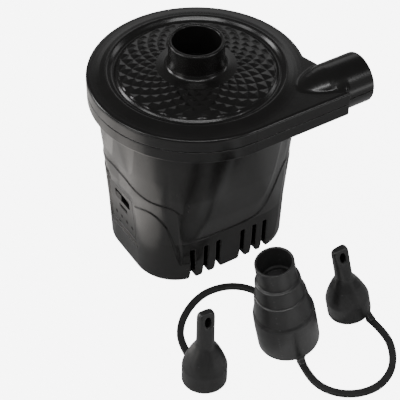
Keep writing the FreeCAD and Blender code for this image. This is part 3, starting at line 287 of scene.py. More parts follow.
NODE_SLOTS = {
    "volute_seal": "seal_rubber",
    "cover_screws": "screw_steel",
    "inlet_guard": "cover_plastic",
    "shell_screws": "screw_steel",
    "base_cover": "shell_plastic",
    "base_screws": "screw_steel",
    "circuit_board": "board",
    "switch_housing": "panel_plastic",
    "indicator_lights": "lens",
    "motor_can": "motor_steel",
    "motor_end_cap": "end_cap_plastic",
    "motor_magnets": "magnet",
    "front_bearing": "bearing_bronze",
    "rear_bearing": "bearing_bronze",
    "motor_brushes": "carbon",
    "brush_arms": "contact_brass",
    "motor_screws": "screw_steel",
    "battery_cells": "cell_wrap",
    "battery_tabs": "nickel",
    "battery_holders": "impeller_plastic",
    "lead_wires": "wire_red",
    "motor_shaft": "shaft_steel",
    "armature_core": "core_steel",
    "armature_windings": "winding_copper",
    "commutator": "contact_brass",
    "impeller": "impeller_plastic",
    "impeller_nut": "screw_steel",
    "charge_socket": "panel_plastic",
}


def finish_with(thing, slot):
    """Gives an object the material of one of the record's slots."""
    thing.data.materials.clear()
    thing.data.materials.append(MATERIALS[slot])


def new_piece(name, mesh, slot, body, replaced):
    """A shown piece that takes the place of CAD nodes and rides on a body."""
    thing = bpy.data.objects.new(name, mesh)
    bpy.context.scene.collection.objects.link(thing)
    finish_with(thing, slot)
    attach(thing, body)
    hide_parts(*replaced)
    return thing


# ---------------------------------------------------------------- straps

def smooth_route(name, route, height):
    """Points read from one NURBS spline that has the route's points as its control points."""
    data = bpy.data.curves.new(name, "CURVE")
    data.dimensions = "3D"
    data.resolution_u = 16
    spline = data.splines.new("NURBS")
    spline.points.add(len(route) - 1)
    for point, (x, y) in zip(spline.points, route):
        point.co = (x * MM, y * MM, height * MM, 1)
    spline.order_u = 3
    spline.use_endpoint_u = True
    guide = bpy.data.objects.new(name, data)
    line = bpy.data.meshes.new_from_object(guide)
    spots = [vertex.co.copy() for vertex in line.vertices]
    bpy.data.objects.remove(guide)
    bpy.data.curves.remove(data)
    bpy.data.meshes.remove(line)
    return spots


def band_section(width, thickness, rounding, steps=4):
    """The outline of a flat band with rounded corners, as (across, up) pairs."""
    corners = [(1, 1, 0), (-1, 1, 90), (-1, -1, 180), (1, -1, 270)]
    outline = []
    for across, up, start in corners:
        for step in range(steps + 1):
            angle = math.radians(start + 90 * step / steps)
            outline.append((
                across * (width / 2 - rounding) + rounding * math.cos(angle),
                up * (thickness / 2 - rounding) + rounding * math.sin(angle),
            ))
    return outline


def make_strap(name, route):
    """A flat band along a route, with its ends let into the tabs that hold them."""
    path = smooth_route(name + "_route", route, STRAP_THICKNESS / 2)
    outline = band_section(STRAP_WIDTH * MM, STRAP_THICKNESS * MM, STRAP_ROUNDING * MM)
    spots = [path[0] + (path[0] - path[1]).normalized() * STRAP_OVERLAP * MM] + path
    spots.append(path[-1] + (path[-1] - path[-2]).normalized() * STRAP_OVERLAP * MM)
    vertices = []
    for index, spot in enumerate(spots):
        ahead = spots[min(index + 1, len(spots) - 1)] - spots[max(index - 1, 0)]
        across = Vector((-ahead.y, ahead.x, 0)).normalized()
        vertices += [spot + across * side + Vector((0, 0, up)) for side, up in outline]
    count = len(outline)
    faces = []
    for row in range(0, count * (len(spots) - 1), count):
        for i in range(count):
            following = (i + 1) % count
            faces.append((row + i, row + following, row + count + following, row + count + i))
    faces.append(tuple(range(count)))
    faces.append(tuple(reversed(range(len(vertices) - count, len(vertices)))))
    mesh = bpy.data.meshes.new(name)
    mesh.from_pydata(vertices, [], faces)
    mesh.update()
    mesh.shade_smooth()
    thing = new_piece(name + "_band", mesh, "strap_rubber", "nozzle_set", [name])


# ---------------------------------------------------------------- solid forms as distance fields

def smooth_min(first, second, blend):
    """The union of two distances, with a fillet where they meet."""
    near = np.maximum(blend - np.abs(first - second), 0) / blend
    return np.minimum(first, second) - near * near * blend / 4


def smooth_max(first, second, blend):
    """The intersection of two distances, with a rounded edge where they meet."""
    return -smooth_min(-first, -second, blend)


def ramp(value, start, end):
    """Goes smoothly from 0 at start to 1 at end."""
    share = np.clip((value - start) / (end - start), 0, 1)
    return share * share * (3 - 2 * share)


def bell(value, width):
    """1 at zero, falling away smoothly over the width."""
    return np.exp(-(value / width) ** 2)


def box_field(x, y, z, low, high, rounding=0.0):
    """The signed distance to a box with rounded edges."""
    spans = []
    for value, start, end in zip((x, y, z), low, high):
        spans.append(np.abs(value - (start + end) / 2) - (end - start) / 2 + rounding)
    outside = np.sqrt(sum(np.maximum(span, 0) ** 2 for span in spans))
    return outside + np.minimum(np.maximum(np.maximum(spans[0], spans[1]), spans[2]), 0) - rounding


def outline_distance(u, v, points):
    """The signed distance to a closed outline, negative inside it."""
    best = np.full(u.shape, 1e9)
    inside = np.zeros(u.shape, bool)
    for (u0, v0), (u1, v1) in zip(points, points[1:] + points[:1]):
        du, dv = u1 - u0, v1 - v0
        share = np.clip(((u - u0) * du + (v - v0) * dv) / (du * du + dv * dv), 0, 1)
        best = np.minimum(best, (u - u0 - share * du) ** 2 + (v - v0 - share * dv) ** 2)
        if dv:
            inside ^= ((v0 > v) != (v1 > v)) & (u < u0 + (v - v0) * du / dv)
    return np.where(inside, -1, 1) * np.sqrt(best)


class Chart:
    """The signed distance to a flat outline, worked out once on a grid and read by interpolation."""

    def __init__(self, points, step=0.1, margin=8.0):
        """Works out the grid, which reaches past the outline by the margin."""
        corners = np.array(points, float)
        self.low = corners.min(0) - margin
        self.step = step
        counts = np.ceil((corners.max(0) + margin - self.low) / step).astype(int) + 1
        u = self.low[0] + step * np.arange(counts[0])
        v = self.low[1] + step * np.arange(counts[1])
        grid_u, grid_v = np.meshgrid(u, v, indexing="ij")
        self.values = outline_distance(grid_u, grid_v, points)

    def __call__(self, u, v):
        """The distance at each spot, with the nearest edge's value beyond the grid."""
        rows, columns = self.values.shape
        across = np.clip((u - self.low[0]) / self.step, 0, rows - 1.001)
        up = np.clip((v - self.low[1]) / self.step, 0, columns - 1.001)
        i = across.astype(int)
        j = up.astype(int)
        s = across - i
        t = up - j
        near = self.values[i, j] * (1 - t) + self.values[i, j + 1] * t
        far = self.values[i + 1, j] * (1 - t) + self.values[i + 1, j + 1] * t
        return near * (1 - s) + far * s


CORNERS = np.array([(i, j, k) for i in (0, 1) for j in (0, 1) for k in (0, 1)])
BLOCK = 8
BLOCK_REACH = 1.7
FAR_VALUE = 1e3
CHUNK = 300000
SETTLING_ROUNDS = 3
LEAST_STEEPNESS = 0.05
TINY = 1e-9


def in_chunks(field, points, size=CHUNK):
    """The field's values at many points, worked out a part at a time."""
    return np.concatenate([field(points[start:start + size]) for start in range(0, len(points), size)])


def sampled(field, low, counts, step):
    """The field on a grid, worked out only in the blocks that its surface may pass through."""
    blocks = [-(-count // BLOCK) for count in counts]
    middles = np.stack(np.meshgrid(*[np.arange(count) for count in blocks], indexing="ij"), -1)
    centres = low + step * (BLOCK * (middles.reshape(-1, 3) + 0.5) - 0.5)
    coarse = in_chunks(field, centres).reshape(blocks)
    near = np.abs(coarse) < step * BLOCK * BLOCK_REACH
    values = np.where(coarse > 0, FAR_VALUE, -FAR_VALUE)
    for axis in range(3):
        near = np.repeat(near, BLOCK, axis)
        values = np.repeat(values, BLOCK, axis)
    near = near[:counts[0], :counts[1], :counts[2]]
    values = np.ascontiguousarray(values[:counts[0], :counts[1], :counts[2]])
    where = np.nonzero(near)
    values[where] = in_chunks(field, low + step * np.stack(where, 1))
    return values


def slopes(field, points, reach):
    """The field's gradient at each point."""
    rises = [in_chunks(field, points + step) - in_chunks(field, points - step) for step in reach * np.eye(3)]
    return np.stack(rises, 1) / (2 * reach)


def surface(name, field, low, high, step):
    """A mesh of quads on the surface where a field is zero, with the field's own normals.

    Every grid cell that the surface passes through gets one point, and every grid edge that it
    crosses gets one quad. The points then settle onto the surface along the field's slope.
    """
    low = np.array(low, float) - 1.37 * step
    counts = [int(math.ceil((end + 1.5 * step - start) / step)) + 1 for start, end in zip(low, high)]
    values = sampled(field, low, counts, step)
    inside = values < 0
    total = np.zeros([count - 1 for count in counts], np.int8)
    for i, j, k in CORNERS:
        total += inside[i:counts[0] - 1 + i, j:counts[1] - 1 + j, k:counts[2] - 1 + k]
    cells = np.argwhere((total > 0) & (total < 8))
    numbers = np.full(total.shape, -1, np.int64)
    numbers[tuple(cells.T)] = np.arange(len(cells))
    sums = np.zeros((len(cells), 3))
    crossings = np.zeros((len(cells), 1))
    for first in CORNERS:
        for axis in range(3):
            if first[axis]:
                continue
            second = first + np.eye(3, dtype=int)[axis]
            at_first = values[tuple((cells + first).T)]
            at_second = values[tuple((cells + second).T)]
            crossed = (at_first < 0) != (at_second < 0)
            share = np.where(crossed, at_first / np.where(crossed, at_first - at_second, 1), 0)
            spot = first + share[:, None] * (second - first)
            sums += np.where(crossed[:, None], spot, 0)
            crossings += crossed[:, None]
    points = low + step * (cells + sums / crossings)
    quads = []
    for axis in range(3):
        side, other = np.roll(np.eye(3, dtype=int), -axis - 1, 0)[:2]
        ahead = np.take(inside, range(1, counts[axis]), axis)
        behind = np.take(inside, range(counts[axis] - 1), axis)
        spots = np.argwhere(ahead != behind)
        room = [spots[:, k] < counts[k] - 1 for k in range(3)]
        wide = (spots @ side > 0) & (spots @ other > 0) & room[0] & room[1] & room[2]
        spots = spots[wide]
        ring = [spots - side - other, spots - other, spots, spots - side]
        found = np.stack([numbers[tuple(part.T)] for part in ring], 1)
        outward = behind[tuple(spots.T)]
        quads.append(np.where(outward[:, None], found, found[:, ::-1]))
    quads = np.concatenate(quads)
    for _ in range(SETTLING_ROUNDS):
        slope = slopes(field, points, step * 0.2)
        steepness = np.maximum((slope ** 2).sum(1), LEAST_STEEPNESS)
        move = slope * (in_chunks(field, points) / steepness)[:, None]
        length = np.linalg.norm(move, axis=1)
        points = points - move * np.minimum(1, 0.5 * step / np.maximum(length, TINY))[:, None]
    normals = slopes(field, points, step * 0.3)
    normals /= np.maximum(np.linalg.norm(normals, axis=1), TINY)[:, None]
    return to_mesh(name, points, quads, normals)


def to_mesh(name, points, quads, normals):
    """A mesh in metres from points in millimetres, with its own normals."""
    mesh = bpy.data.meshes.new(name)
    mesh.vertices.add(len(points))
    mesh.vertices.foreach_set("co", (points * MM).ravel())
    mesh.loops.add(quads.size)
    mesh.loops.foreach_set("vertex_index", quads.ravel())
    mesh.polygons.add(len(quads))
    mesh.polygons.foreach_set("loop_start", np.arange(0, quads.size, 4))
    mesh.update(calc_edges=True)
    mesh.shade_smooth()
    mesh.normals_split_custom_set_from_vertices(normals)
    return mesh


# ---------------------------------------------------------------- lid and volute

# FLANGE is an outline seen from above. CROWN is the lid's section as radii and heights. The pipes and the
# air way are sections along the outlet, as places on x and radii.
FLANGE = Chart([(0, -51), (50.3, -51), (50.3, -24.3), (48.2, -16.5), (0, 0)], 0.2, 60)

CROWN = Chart([
    (80, 98.7), (50, 98.7), (48.3, 98.72), (46.4, 98.86), (44.6, 99.2), (43.2, 99.66), (42.2, 99.98),
    (41.6, 100.03), (41.1, 99.84), (40.6, 99.44), (40.1, 98.94), (39.6, 98.46), (39.1, 98.12), (38.6, 98.0),
    (38.1, 98.06), (37.7, 98.3), (37.3, 98.68), (36.9, 98.98), (36.5, 99.17), (36.0, 99.3), (33, 99.82),
    (30, 100.3), (24, 101.15), (18.9, 101.8), (16.8, 102.1), (15.6, 102.3), (14.8, 102.5), (14.2, 102.85),
    (13.7, 103.35), (13.35, 104.0), (13.12, 104.8), (13.0, 106), (13.0, 114.7), (12.86, 115.2), (12.5, 115.46),
    (12.1, 115.5), (11.6, 115.46), (11.25, 115.2), (11.1, 114.8), (11.0, 113), (11.0, 99.7),
    (12.05, 99.7), (12.05, 96.3), (44, 96.3), (44, 78), (80, 78),
], 0.08)

PIPE = Chart([
    (26, -6), (26, 2.5), (30.6, 6.1), (32.4, 7.2), (34.9, 8.4), (38, 9.7), (41, 10.75), (44, 11.6),
    (46.5, 12.02), (48.5, 12.1), (65.8, 12.1), (66.16, 11.96), (66.3, 11.6), (66.3, -6),
], 0.1)

LOWER_PIPE = Chart([
    (37.6, -6), (37.6, 6.0), (39, 8.2), (41, 9.9), (44, 11.4), (46.5, 12.02), (48.5, 12.1),
    (65.8, 12.1), (66.16, 11.96), (66.3, 11.6), (66.3, -6),
], 0.1)

AIR_WAY = Chart([(31, -6), (31, 4.2), (48, 10.3), (65.6, 10.3), (66.3, 10.9), (72, 10.9), (72, -6)], 0.1)

DIAMOND_LENGTH = 6.1
DIAMOND_TURN = 360 / 26
DIAMOND_START = (20.2, -42.0)
DIAMOND_HEIGHT = 0.55
DIAMOND_FIELD = (18.6, 19.4, 35.9, 36.5)
HALF_GAP = 0.12
HUB_HOLE = 5.2
CHANNEL_X = (10, 37)
CHANNEL_Y = (-40.6, -26.4)
SCREW_HOLE = 1.55
SCREW_HEAD = 2.75
SCREW_HEAD_DEPTH = 2.1


def diamonds(x, y):
    """The height of the raised pyramids that cover the lid's dome."""
    radius = np.hypot(x, y)
    u = (radius - DIAMOND_START[0]) / DIAMOND_LENGTH + 0.5
    v = (np.degrees(np.arctan2(y, x)) - DIAMOND_START[1]) / DIAMOND_TURN
    one = 1 - 2 * np.abs((u + v) % 1 - 0.5)
    two = 1 - 2 * np.abs((u - v) % 1 - 0.5)
    field = ramp(radius, *DIAMOND_FIELD[:2]) * (1 - ramp(radius, *DIAMOND_FIELD[2:]))
    return DIAMOND_HEIGHT * np.minimum(one, two) * field


def plan_field(x, y):
    """The outline of lid, rim and flange seen from above."""
    return smooth_min(np.hypot(x, y) - LID_RADIUS, FLANGE(x, y), 0.6)


def air_field(x, y, z):
    """The duct from the impeller chamber to the outlet."""
    duct = AIR_WAY(x, np.hypot(y - OUTLET_Y, z - SEAM))
    low, high = zip(CHANNEL_X, CHANNEL_Y, (RIM_BOTTOM + SKIN, LID_TOP - SKIN))
    channel = box_field(x, y, z, low, high)
    return np.minimum(duct, channel)


def cover_field(points):
    """The lid with its collar, its ring, its pyramids and the upper half of the outlet."""
    x, y, z = points.T
    radius = np.hypot(x, y)
    raised = np.where(z > 97.5, diamonds(x, y), 0)
    solid = smooth_max(CROWN(radius, z - raised), plan_field(x, y), 1.7)
    pipe = PIPE(x, np.hypot(y - OUTLET_Y, z - SEAM))
    near_side = ramp(OUTLET_Y - y, -2, 4)
    fillet = 0.8 + near_side * 2.2 * ramp(x, 42, 49)
    solid = smooth_min(solid, pipe, fillet)
    solid = np.maximum(solid, -air_field(x, y, z))
    return smooth_max(solid, SEAM + HALF_GAP - z, 0.35)


def volute_field(points):
    """The rim below the seam with the lower half of the outlet."""
    x, y, z = points.T
    radius = np.hypot(x, y)
    solid = smooth_max(plan_field(x, y), RIM_BOTTOM - z, 0.9)
    pipe = LOWER_PIPE(x, np.hypot(y - OUTLET_Y, z - SEAM))
    solid = smooth_min(solid, pipe, 1.2)
    chamber = np.maximum(radius - CHAMBER_RADIUS, RIM_BOTTOM + SKIN - z)
    duct = np.where((x < 43) & (z < RIM_BOTTOM + SKIN), 5.0, air_field(x, y, z))
    solid = np.maximum(solid, -np.minimum(chamber, duct))
    solid = np.maximum(solid, HUB_HOLE - radius)
    for angle in COVER_SCREW_ANGLES:
        spot = np.radians(angle)
        off = np.hypot(x - COVER_SCREW_CIRCLE * np.cos(spot), y - COVER_SCREW_CIRCLE * np.sin(spot))
        head = np.maximum(off - SCREW_HEAD, z - RIM_BOTTOM - SCREW_HEAD_DEPTH)
        hole = np.minimum(off - SCREW_HOLE, head)
        solid = np.maximum(solid, -hole)
    return smooth_max(solid, z - SEAM + HALF_GAP, 0.35)


# ---------------------------------------------------------------- body shell

def shell_side(x, y, z):
    """The distance to the shell's plain tapering side."""
    heights, *sizes = SHELL_SECTIONS.T
    half_length, half_width, corner = (np.interp(z, heights, size) for size in sizes)
    across = np.abs(x) - half_length + corner
    along = np.abs(y) - half_width + corner
    rounded = np.hypot(np.maximum(across, 0), np.maximum(along, 0))
    return rounded + np.minimum(np.maximum(across, along), 0) - corner


# The lines that the shell's ledges follow, as degrees round from the -X side and heights.
MM_PER_DEGREE = 0.62
LEDGE_DEPTH = 0.5
LEDGE_STEP = (-0.4, 0.5)
SHOULDER_LINE = np.array([
    (0, 55.9), (4, 55.9), (9, 56.0), (14, 55.2), (18.7, 54.2), (22.8, 53.4), (26.6, 52.6), (30.1, 52.1),
    (34.7, 51.8), (39, 51.5), (42.5, 50.8), (45.6, 49.7), (48.5, 47.6),
])
BLOCK_LINE = np.array([
    (12, 42.1), (15, 42.4), (18, 43.0), (22, 44.2), (26, 44.9), (29.6, 44.8), (33, 43.6), (36.1, 41.3),
    (38.8, 38.5), (40.7, 35.0), (42.7, 27.6), (44.4, 21.3), (46.1, 15.3), (47.9, 10.4),
])
APRON_LINE = np.array([
    (58.8, 27.2), (62.5, 26.6), (69, 25.8), (78, 25.3), (87.8, 25.1), (97.8, 25.1), (104, 25.25),
    (108, 25.5), (111.4, 26.1), (114.2, 27.3), (116.2, 29.4), (117.8, 32.5), (119, 36.5), (120, 41),
    (121.2, 46), (122.8, 51.4), (124.2, 53.9), (126, 55.2), (129.1, 56.3), (133, 56.6),
])
CREASE_LINE = np.array([
    (2.4, 130.3), (6.3, 131.9), (11.7, 133.2), (18.3, 133.7), (26.9, 133.0), (36.7, 131.2), (46.8, 129.4),
    (52, 129.0),
])


def above_line(turn, z, line):
    """How far a point lies above a line drawn round the shell, square to the line."""
    fine = np.linspace(line[0, 0], line[-1, 0], 240)
    heights = np.interp(fine, line[:, 0], line[:, 1])
    smooth = np.convolve(np.pad(heights, 9, "edge"), np.ones(19) / 19, "valid")
    lean = np.gradient(smooth, fine * MM_PER_DEGREE)
    rise = z - np.interp(turn, fine, smooth)
    return rise / np.hypot(1, np.interp(turn, fine, lean))


def ledge(turn, z, line, fade, ends):
    """A step that faces up along a line: full depth at the line, faded out above it."""
    above = above_line(turn, z, line)
    step = ramp(above, *LEDGE_STEP) * (1 - ramp(above, LEDGE_STEP[1], fade))
    start, end = ends
    length = ramp(turn, *start) * (1 - ramp(turn, *end))
    return LEDGE_DEPTH * step * length


def shell_relief(x, y, z):
    """How far the shell's surface is set in from its plain side."""
    turn = np.degrees(np.arctan2(np.abs(y), -x))
    mirrored = 180 - turn
    depth = ledge(turn, z, SHOULDER_LINE, 15, ((-2, -1), (46.5, 51)))
    depth += ledge(mirrored, z, SHOULDER_LINE, 15, ((-2, -1), (44, 50)))
    depth += ledge(turn, z, BLOCK_LINE, 9, ((13, 19), (47.2, 49)))
    depth += ledge(turn, z, APRON_LINE, 14, ((57, 64), (128, 133)))
    scoop = bell((turn - 51.5) * MM_PER_DEGREE, 4.6) * bell(z - 16.5, 8.0) * ramp(z, 10.6, 13.4)
    depth += 1.0 * scoop * ramp(above_line(turn, z, BLOCK_LINE), -0.5, 2.0)
    crease = np.abs((turn - np.interp(z, CREASE_LINE[:, 0], CREASE_LINE[:, 1])) * MM_PER_DEGREE)
    depth -= 0.4 * np.exp(-crease / 2.4) * ramp(z, 1, 5) * (1 - ramp(z, 44, 56))
    recess = ramp(y, -11.9, -11.1) * (1 - ramp(y, 15.1, 15.9)) * ramp(z, 13.2, 14.2) * (1 - ramp(z, 40, 50))
    depth += 0.75 * recess * (x < 0)
    return depth


SLOT_FLARE = 0.75
FLARE_TOP = 5.5
SLOT_INNER_Y = 24


def slot_field(x, y, z):
    """The vent slots at the foot of the shell, which spread at their lower ends."""
    flare = SLOT_FLARE * np.clip((FLARE_TOP - z) / FLARE_TOP, 0, 1.4) ** 2
    nearest = np.min([np.abs(x - spot) for spot in SLOT_SPOTS], 0)
    across = nearest - SLOT_WIDTH / 2 - flare
    opening = smooth_max(across, z - SLOT_HEIGHT, 0.5)
    return np.maximum(opening, SLOT_INNER_Y - np.abs(y))


PANEL_FRAME = 2.2
PANEL_GAP = 0.3
PANEL_LEDGE = 1.6
SCREW_RING_RADIUS = 41.3
SCREW_RING_HALF_WIDTH = 3.5
SCREW_RING_Z = 84.95
SCREW_RING_HALF_HEIGHT = 0.75
SHELL_SCREW_HOLE = 1.2
POST_RADIUS = 3
POST_HOLE = 1.05
POST_Z = 10.6
POST_HALF_HEIGHT = 7
RIB_HALF_WIDTH = 0.8
RIB_LENGTH = 16


def shell_field(points):
    """The body shell with its relief, vent slots, panel pocket, screw ring and base posts."""
    x, y, z = points.T
    side = shell_side(x, y, z)
    outer = smooth_max(side + shell_relief(x, y, z), 0.02 - z, 1.1)
    thick = np.maximum(np.maximum(np.abs(x) - 25.5, TOOTH_INSIDE - np.abs(y)), z - SLOT_HEIGHT - 2)
    room = np.maximum(side + SHELL_WALL, -thick)
    solid = np.maximum(outer, -room)
    around = box_field(x, y, z, (-60, PANEL_Y[0] - PANEL_FRAME, 14.6), (-37.6, PANEL_Y[1] + PANEL_FRAME, 43.8))
    solid = np.minimum(solid, np.maximum(around, outer))
    face = -np.interp(z, SHELL_SECTIONS[:, 0], SHELL_SECTIONS[:, 1])
    pocket = box_field(
        x - face, y, z, (-9, PANEL_Y[0] - PANEL_GAP, PANEL_Z[0] - PANEL_GAP),
        (2.4, PANEL_Y[1] + 0.25, PANEL_Z[1] + 0.25),
    )
    window = box_field(
        x, y, z, (-60, PANEL_Y[0] + PANEL_LEDGE, PANEL_Z[0] + PANEL_LEDGE),
        (-30, PANEL_Y[1] - PANEL_LEDGE, PANEL_Z[1] - PANEL_LEDGE),
    )
    solid = smooth_max(solid, -np.minimum(pocket, window), 0.35)
    solid = smooth_max(solid, -slot_field(x, y, z), 0.7)
    beside = np.abs(np.hypot(x, y) - SCREW_RING_RADIUS) - SCREW_RING_HALF_WIDTH
    ring = np.maximum(beside, np.abs(z - SCREW_RING_Z) - SCREW_RING_HALF_HEIGHT)
    for angle in (0, 90, 180, 270):
        spot = np.radians(angle)
        off = np.hypot(x - SHELL_SCREW_CIRCLE * np.cos(spot), y - SHELL_SCREW_CIRCLE * np.sin(spot))
        ring = np.maximum(ring, SHELL_SCREW_HOLE - off)
    solid = np.minimum(solid, ring)
    for spot_x, spot_y in BASE_SCREW_SPOTS:
        off = np.hypot(x - spot_x, y - spot_y)
        post = np.maximum(off - POST_RADIUS, np.abs(z - POST_Z) - POST_HALF_HEIGHT)
        outward = y * math.copysign(1, spot_y)
        rib = box_field(
            x, outward, z, (spot_x - RIB_HALF_WIDTH, abs(spot_y), POST_Z - POST_HALF_HEIGHT),
            (spot_x + RIB_HALF_WIDTH, abs(spot_y) + RIB_LENGTH, POST_Z + POST_HALF_HEIGHT),
        )
        post = np.minimum(post, np.maximum(rib, side + SHELL_WALL / 2))
        solid = np.minimum(solid, np.maximum(post, POST_HOLE - off))
    return smooth_max(solid, z - RIM_BOTTOM + HALF_GAP, 0.5)


PANEL_INSET = 0.95
PANEL_THICKNESS = 1.35
SWITCH_HALF_WIDTH = 6.7
SWITCH_HALF_HEIGHT = 2.65
SWITCH_CORNER = 8.6
SOCKET_HALF_WIDTH = 3.6
SOCKET_HALF_HEIGHT = 1.15
LIGHT_RADIUS = 1.0


def panel_face(z):
    """Where the control panel's face is at a height: a little inside the shell's."""
    return -np.interp(z, SHELL_SECTIONS[:, 0], SHELL_SECTIONS[:, 1]) + PANEL_INSET


def panel_field(points):
    """The control panel with its switch window, its charging slot and its four light holes."""
    x, y, z = points.T
    depth = x - panel_face(z)
    low, high = zip((0, PANEL_THICKNESS), PANEL_Y, PANEL_Z)
    solid = box_field(depth, y, z, low, high, 0.25)
    across = np.abs(y - SWITCH_Y)
    up = np.abs(z - SWITCH_Z)
    window = np.maximum(across - SWITCH_HALF_WIDTH, up - SWITCH_HALF_HEIGHT)
    window = np.maximum(window, (across + up - SWITCH_CORNER) * math.sqrt(0.5))
    solid = smooth_max(solid, -window, 0.3)
    socket = np.maximum(np.abs(y - SOCKET_Y) - SOCKET_HALF_WIDTH, np.abs(z - SOCKET_Z) - SOCKET_HALF_HEIGHT)
    solid = smooth_max(solid, -socket, 0.25)
    for index in range(4):
        off = np.hypot(y - SOCKET_Y - LIGHT_PITCH * (index - 1.5), z - LIGHT_Z)
        solid = smooth_max(solid, LIGHT_RADIUS - off, 0.3)
    return solid


KNOB_LOW = SWITCH_Y + 0.1
KNOB_HIGH = KNOB_LOW + 5.0
RIDGE_HEIGHT = 0.4
RIDGE_PITCH = 1.2


def knob_field(points):
    """The ribbed switch knob with the stem that goes in through the window."""
    x, y, z = points.T
    ridges = RIDGE_HEIGHT * np.abs(np.sin((y - KNOB_LOW - 0.1) * math.pi / RIDGE_PITCH))
    up = z - SWITCH_Z
    cap = box_field(x - ridges, y, up, (-41.3, KNOB_LOW, -1.8), (-39.0, KNOB_HIGH, 1.8), 0.25)
    stem = box_field(x, y, up, (-39.4, KNOB_LOW + 0.9, -0.65), (-36, KNOB_HIGH - 0.9, 0.65))
    return np.minimum(cap, stem)


# ---------------------------------------------------------------- accessory nozzles

# Both sections are radii and heights along the nozzle's own axis.
ADAPTER = Chart([
    (13.1, 0.3), (13.4, 0), (14.2, 0), (14.5, 0.3), (14.5, 12), (14.45, 15), (14.28, 19.6), (14.1, 20.6),
    (13.6, 21.35), (13.3, 21.9), (12.0, 32.5), (11.85, 32.9), (11.3, 33.2), (11.1, 33.5), (10.45, 41.6),
    (10.3, 42.05), (9.85, 42.35), (9.4, 42.5), (9.1, 42.7), (9.0, 43.1), (9.0, 53.1), (8.85, 53.4),
    (8.55, 53.5), (8.2, 53.5), (7.95, 53.35), (7.85, 53.0), (7.7, 42), (6.9, 41.2), (6.9, 39.6),
    (7.7, 38.8), (8.5, 31.4), (9.7, 20.3), (11.5, 15.6), (13.1, 14),
], 0.06)

SMALL = Chart([
    (-6, 13), (0, 13), (7.1, 11), (9.1, 8.6), (9.1, 0.3), (9.35, 0), (10.1, 0), (10.4, 0.3), (10.4, 8.6),
    (10.3, 9.4), (10.05, 10.2), (9.2, 12.5), (8.2, 15.1), (7.1, 17.6), (6.0, 19.6), (5.0, 21.2), (4.5, 22.4),
    (4.2, 23.8), (4.1, 26), (4.05, 32), (4.05, 38.6), (3.9, 39.9), (3.5, 40.7), (2.8, 41.2), (1.6, 41.4),
    (-6, 41.4),
], 0.06)


def upright(lean):
    """The axes of a nozzle whose own axis leans away from +Z by the least turn."""
    axis = Vector((lean[0], lean[1], 1)).normalized()
    return np.array(Vector((0, 0, 1)).rotation_difference(axis).to_matrix())


class Stand:
    """Where a nozzle stands on the floor: its foot and the turn of its axis."""

    def __init__(self, spot, lean, radius):
        """Lifts the foot so that the leaning nozzle's lowest edge touches the floor."""
        self.turn = upright(lean)
        lift = radius * math.sqrt(1 - self.turn[2, 2] ** 2)
        self.foot = np.array((*spot, lift))

    def local(self, points):
        """Points as the nozzle has them, with its own axis as z."""
        return (points - self.foot) @ self.turn

    def box(self, radius, height):
        """Corners that hold a nozzle of a radius and height."""
        ends = [self.foot, self.foot + self.turn[:, 2] * height]
        low = np.minimum(*ends) - radius
        high = np.maximum(*ends) + radius
        low[2] = 0
        high[2] = ends[1][2] + 2
        return low, high


TAB_SLOPE = 0.35
ADAPTER_HEIGHT = 53.5
ADAPTER_HOLLOW = (13.1, 13.5)
SMALL_HEIGHT = 41.4
SMALL_HOLLOW = (9.1, 8.6)
SMALL_PASSAGE = (1.4, 37)
PINCH_HALF = 1.75
PINCH_SPREAD = 0.16
PINCH_FOOT = 25
PORT_Z = 36.4
PORT_HALF_WIDTH = 1.5
PORT_HALF_HEIGHT = 2.7


def lug_field(points, tip, toward, length, height):
    """The tab that a strap is moulded to, from its tip on the floor towards the nozzle."""
    angle = math.atan2(toward[1], toward[0])
    x = points[:, 0] - tip[0]
    y = points[:, 1] - tip[1]
    along = x * math.cos(angle) + y * math.sin(angle)
    across = y * math.cos(angle) - x * math.sin(angle)
    slope = TAB_SLOPE * np.clip(along, 0, length)
    half = STRAP_WIDTH / 2
    return box_field(along, across, points[:, 2] - slope, (-0.3, -half, -3), (length, half, height - 0.9), 0.5)


def heading(start, end):
    """The way from one spot to another."""
    return end[0] - start[0], end[1] - start[1]


ADAPTER_STAND = Stand(ADAPTER_SPOT, ADAPTER_LEAN, ADAPTER_RADIUS)
LEFT_STAND = Stand(LEFT_SPOT, LEFT_LEAN, SMALL_RADIUS)
RIGHT_STAND = Stand(RIGHT_SPOT, RIGHT_LEAN, SMALL_RADIUS)


def adapter_field(points):
    """The stepped adapter with a tab for each strap."""
    near = ADAPTER_STAND.local(points)
    radius = np.hypot(near[:, 0], near[:, 1])
    height = near[:, 2]
    solid = ADAPTER(radius, height)
    for route in (LEFT_ROUTE, RIGHT_ROUTE):
        tab = lug_field(points, route[0], heading(route[1], route[0]), 3.9, 3.4)
        solid = smooth_min(solid, tab, 1.6)
    hollow = np.maximum(radius - ADAPTER_HOLLOW[0], height - ADAPTER_HOLLOW[1])
    solid = np.maximum(solid, -hollow)
    return np.maximum(solid, 0.01 - points[:, 2])


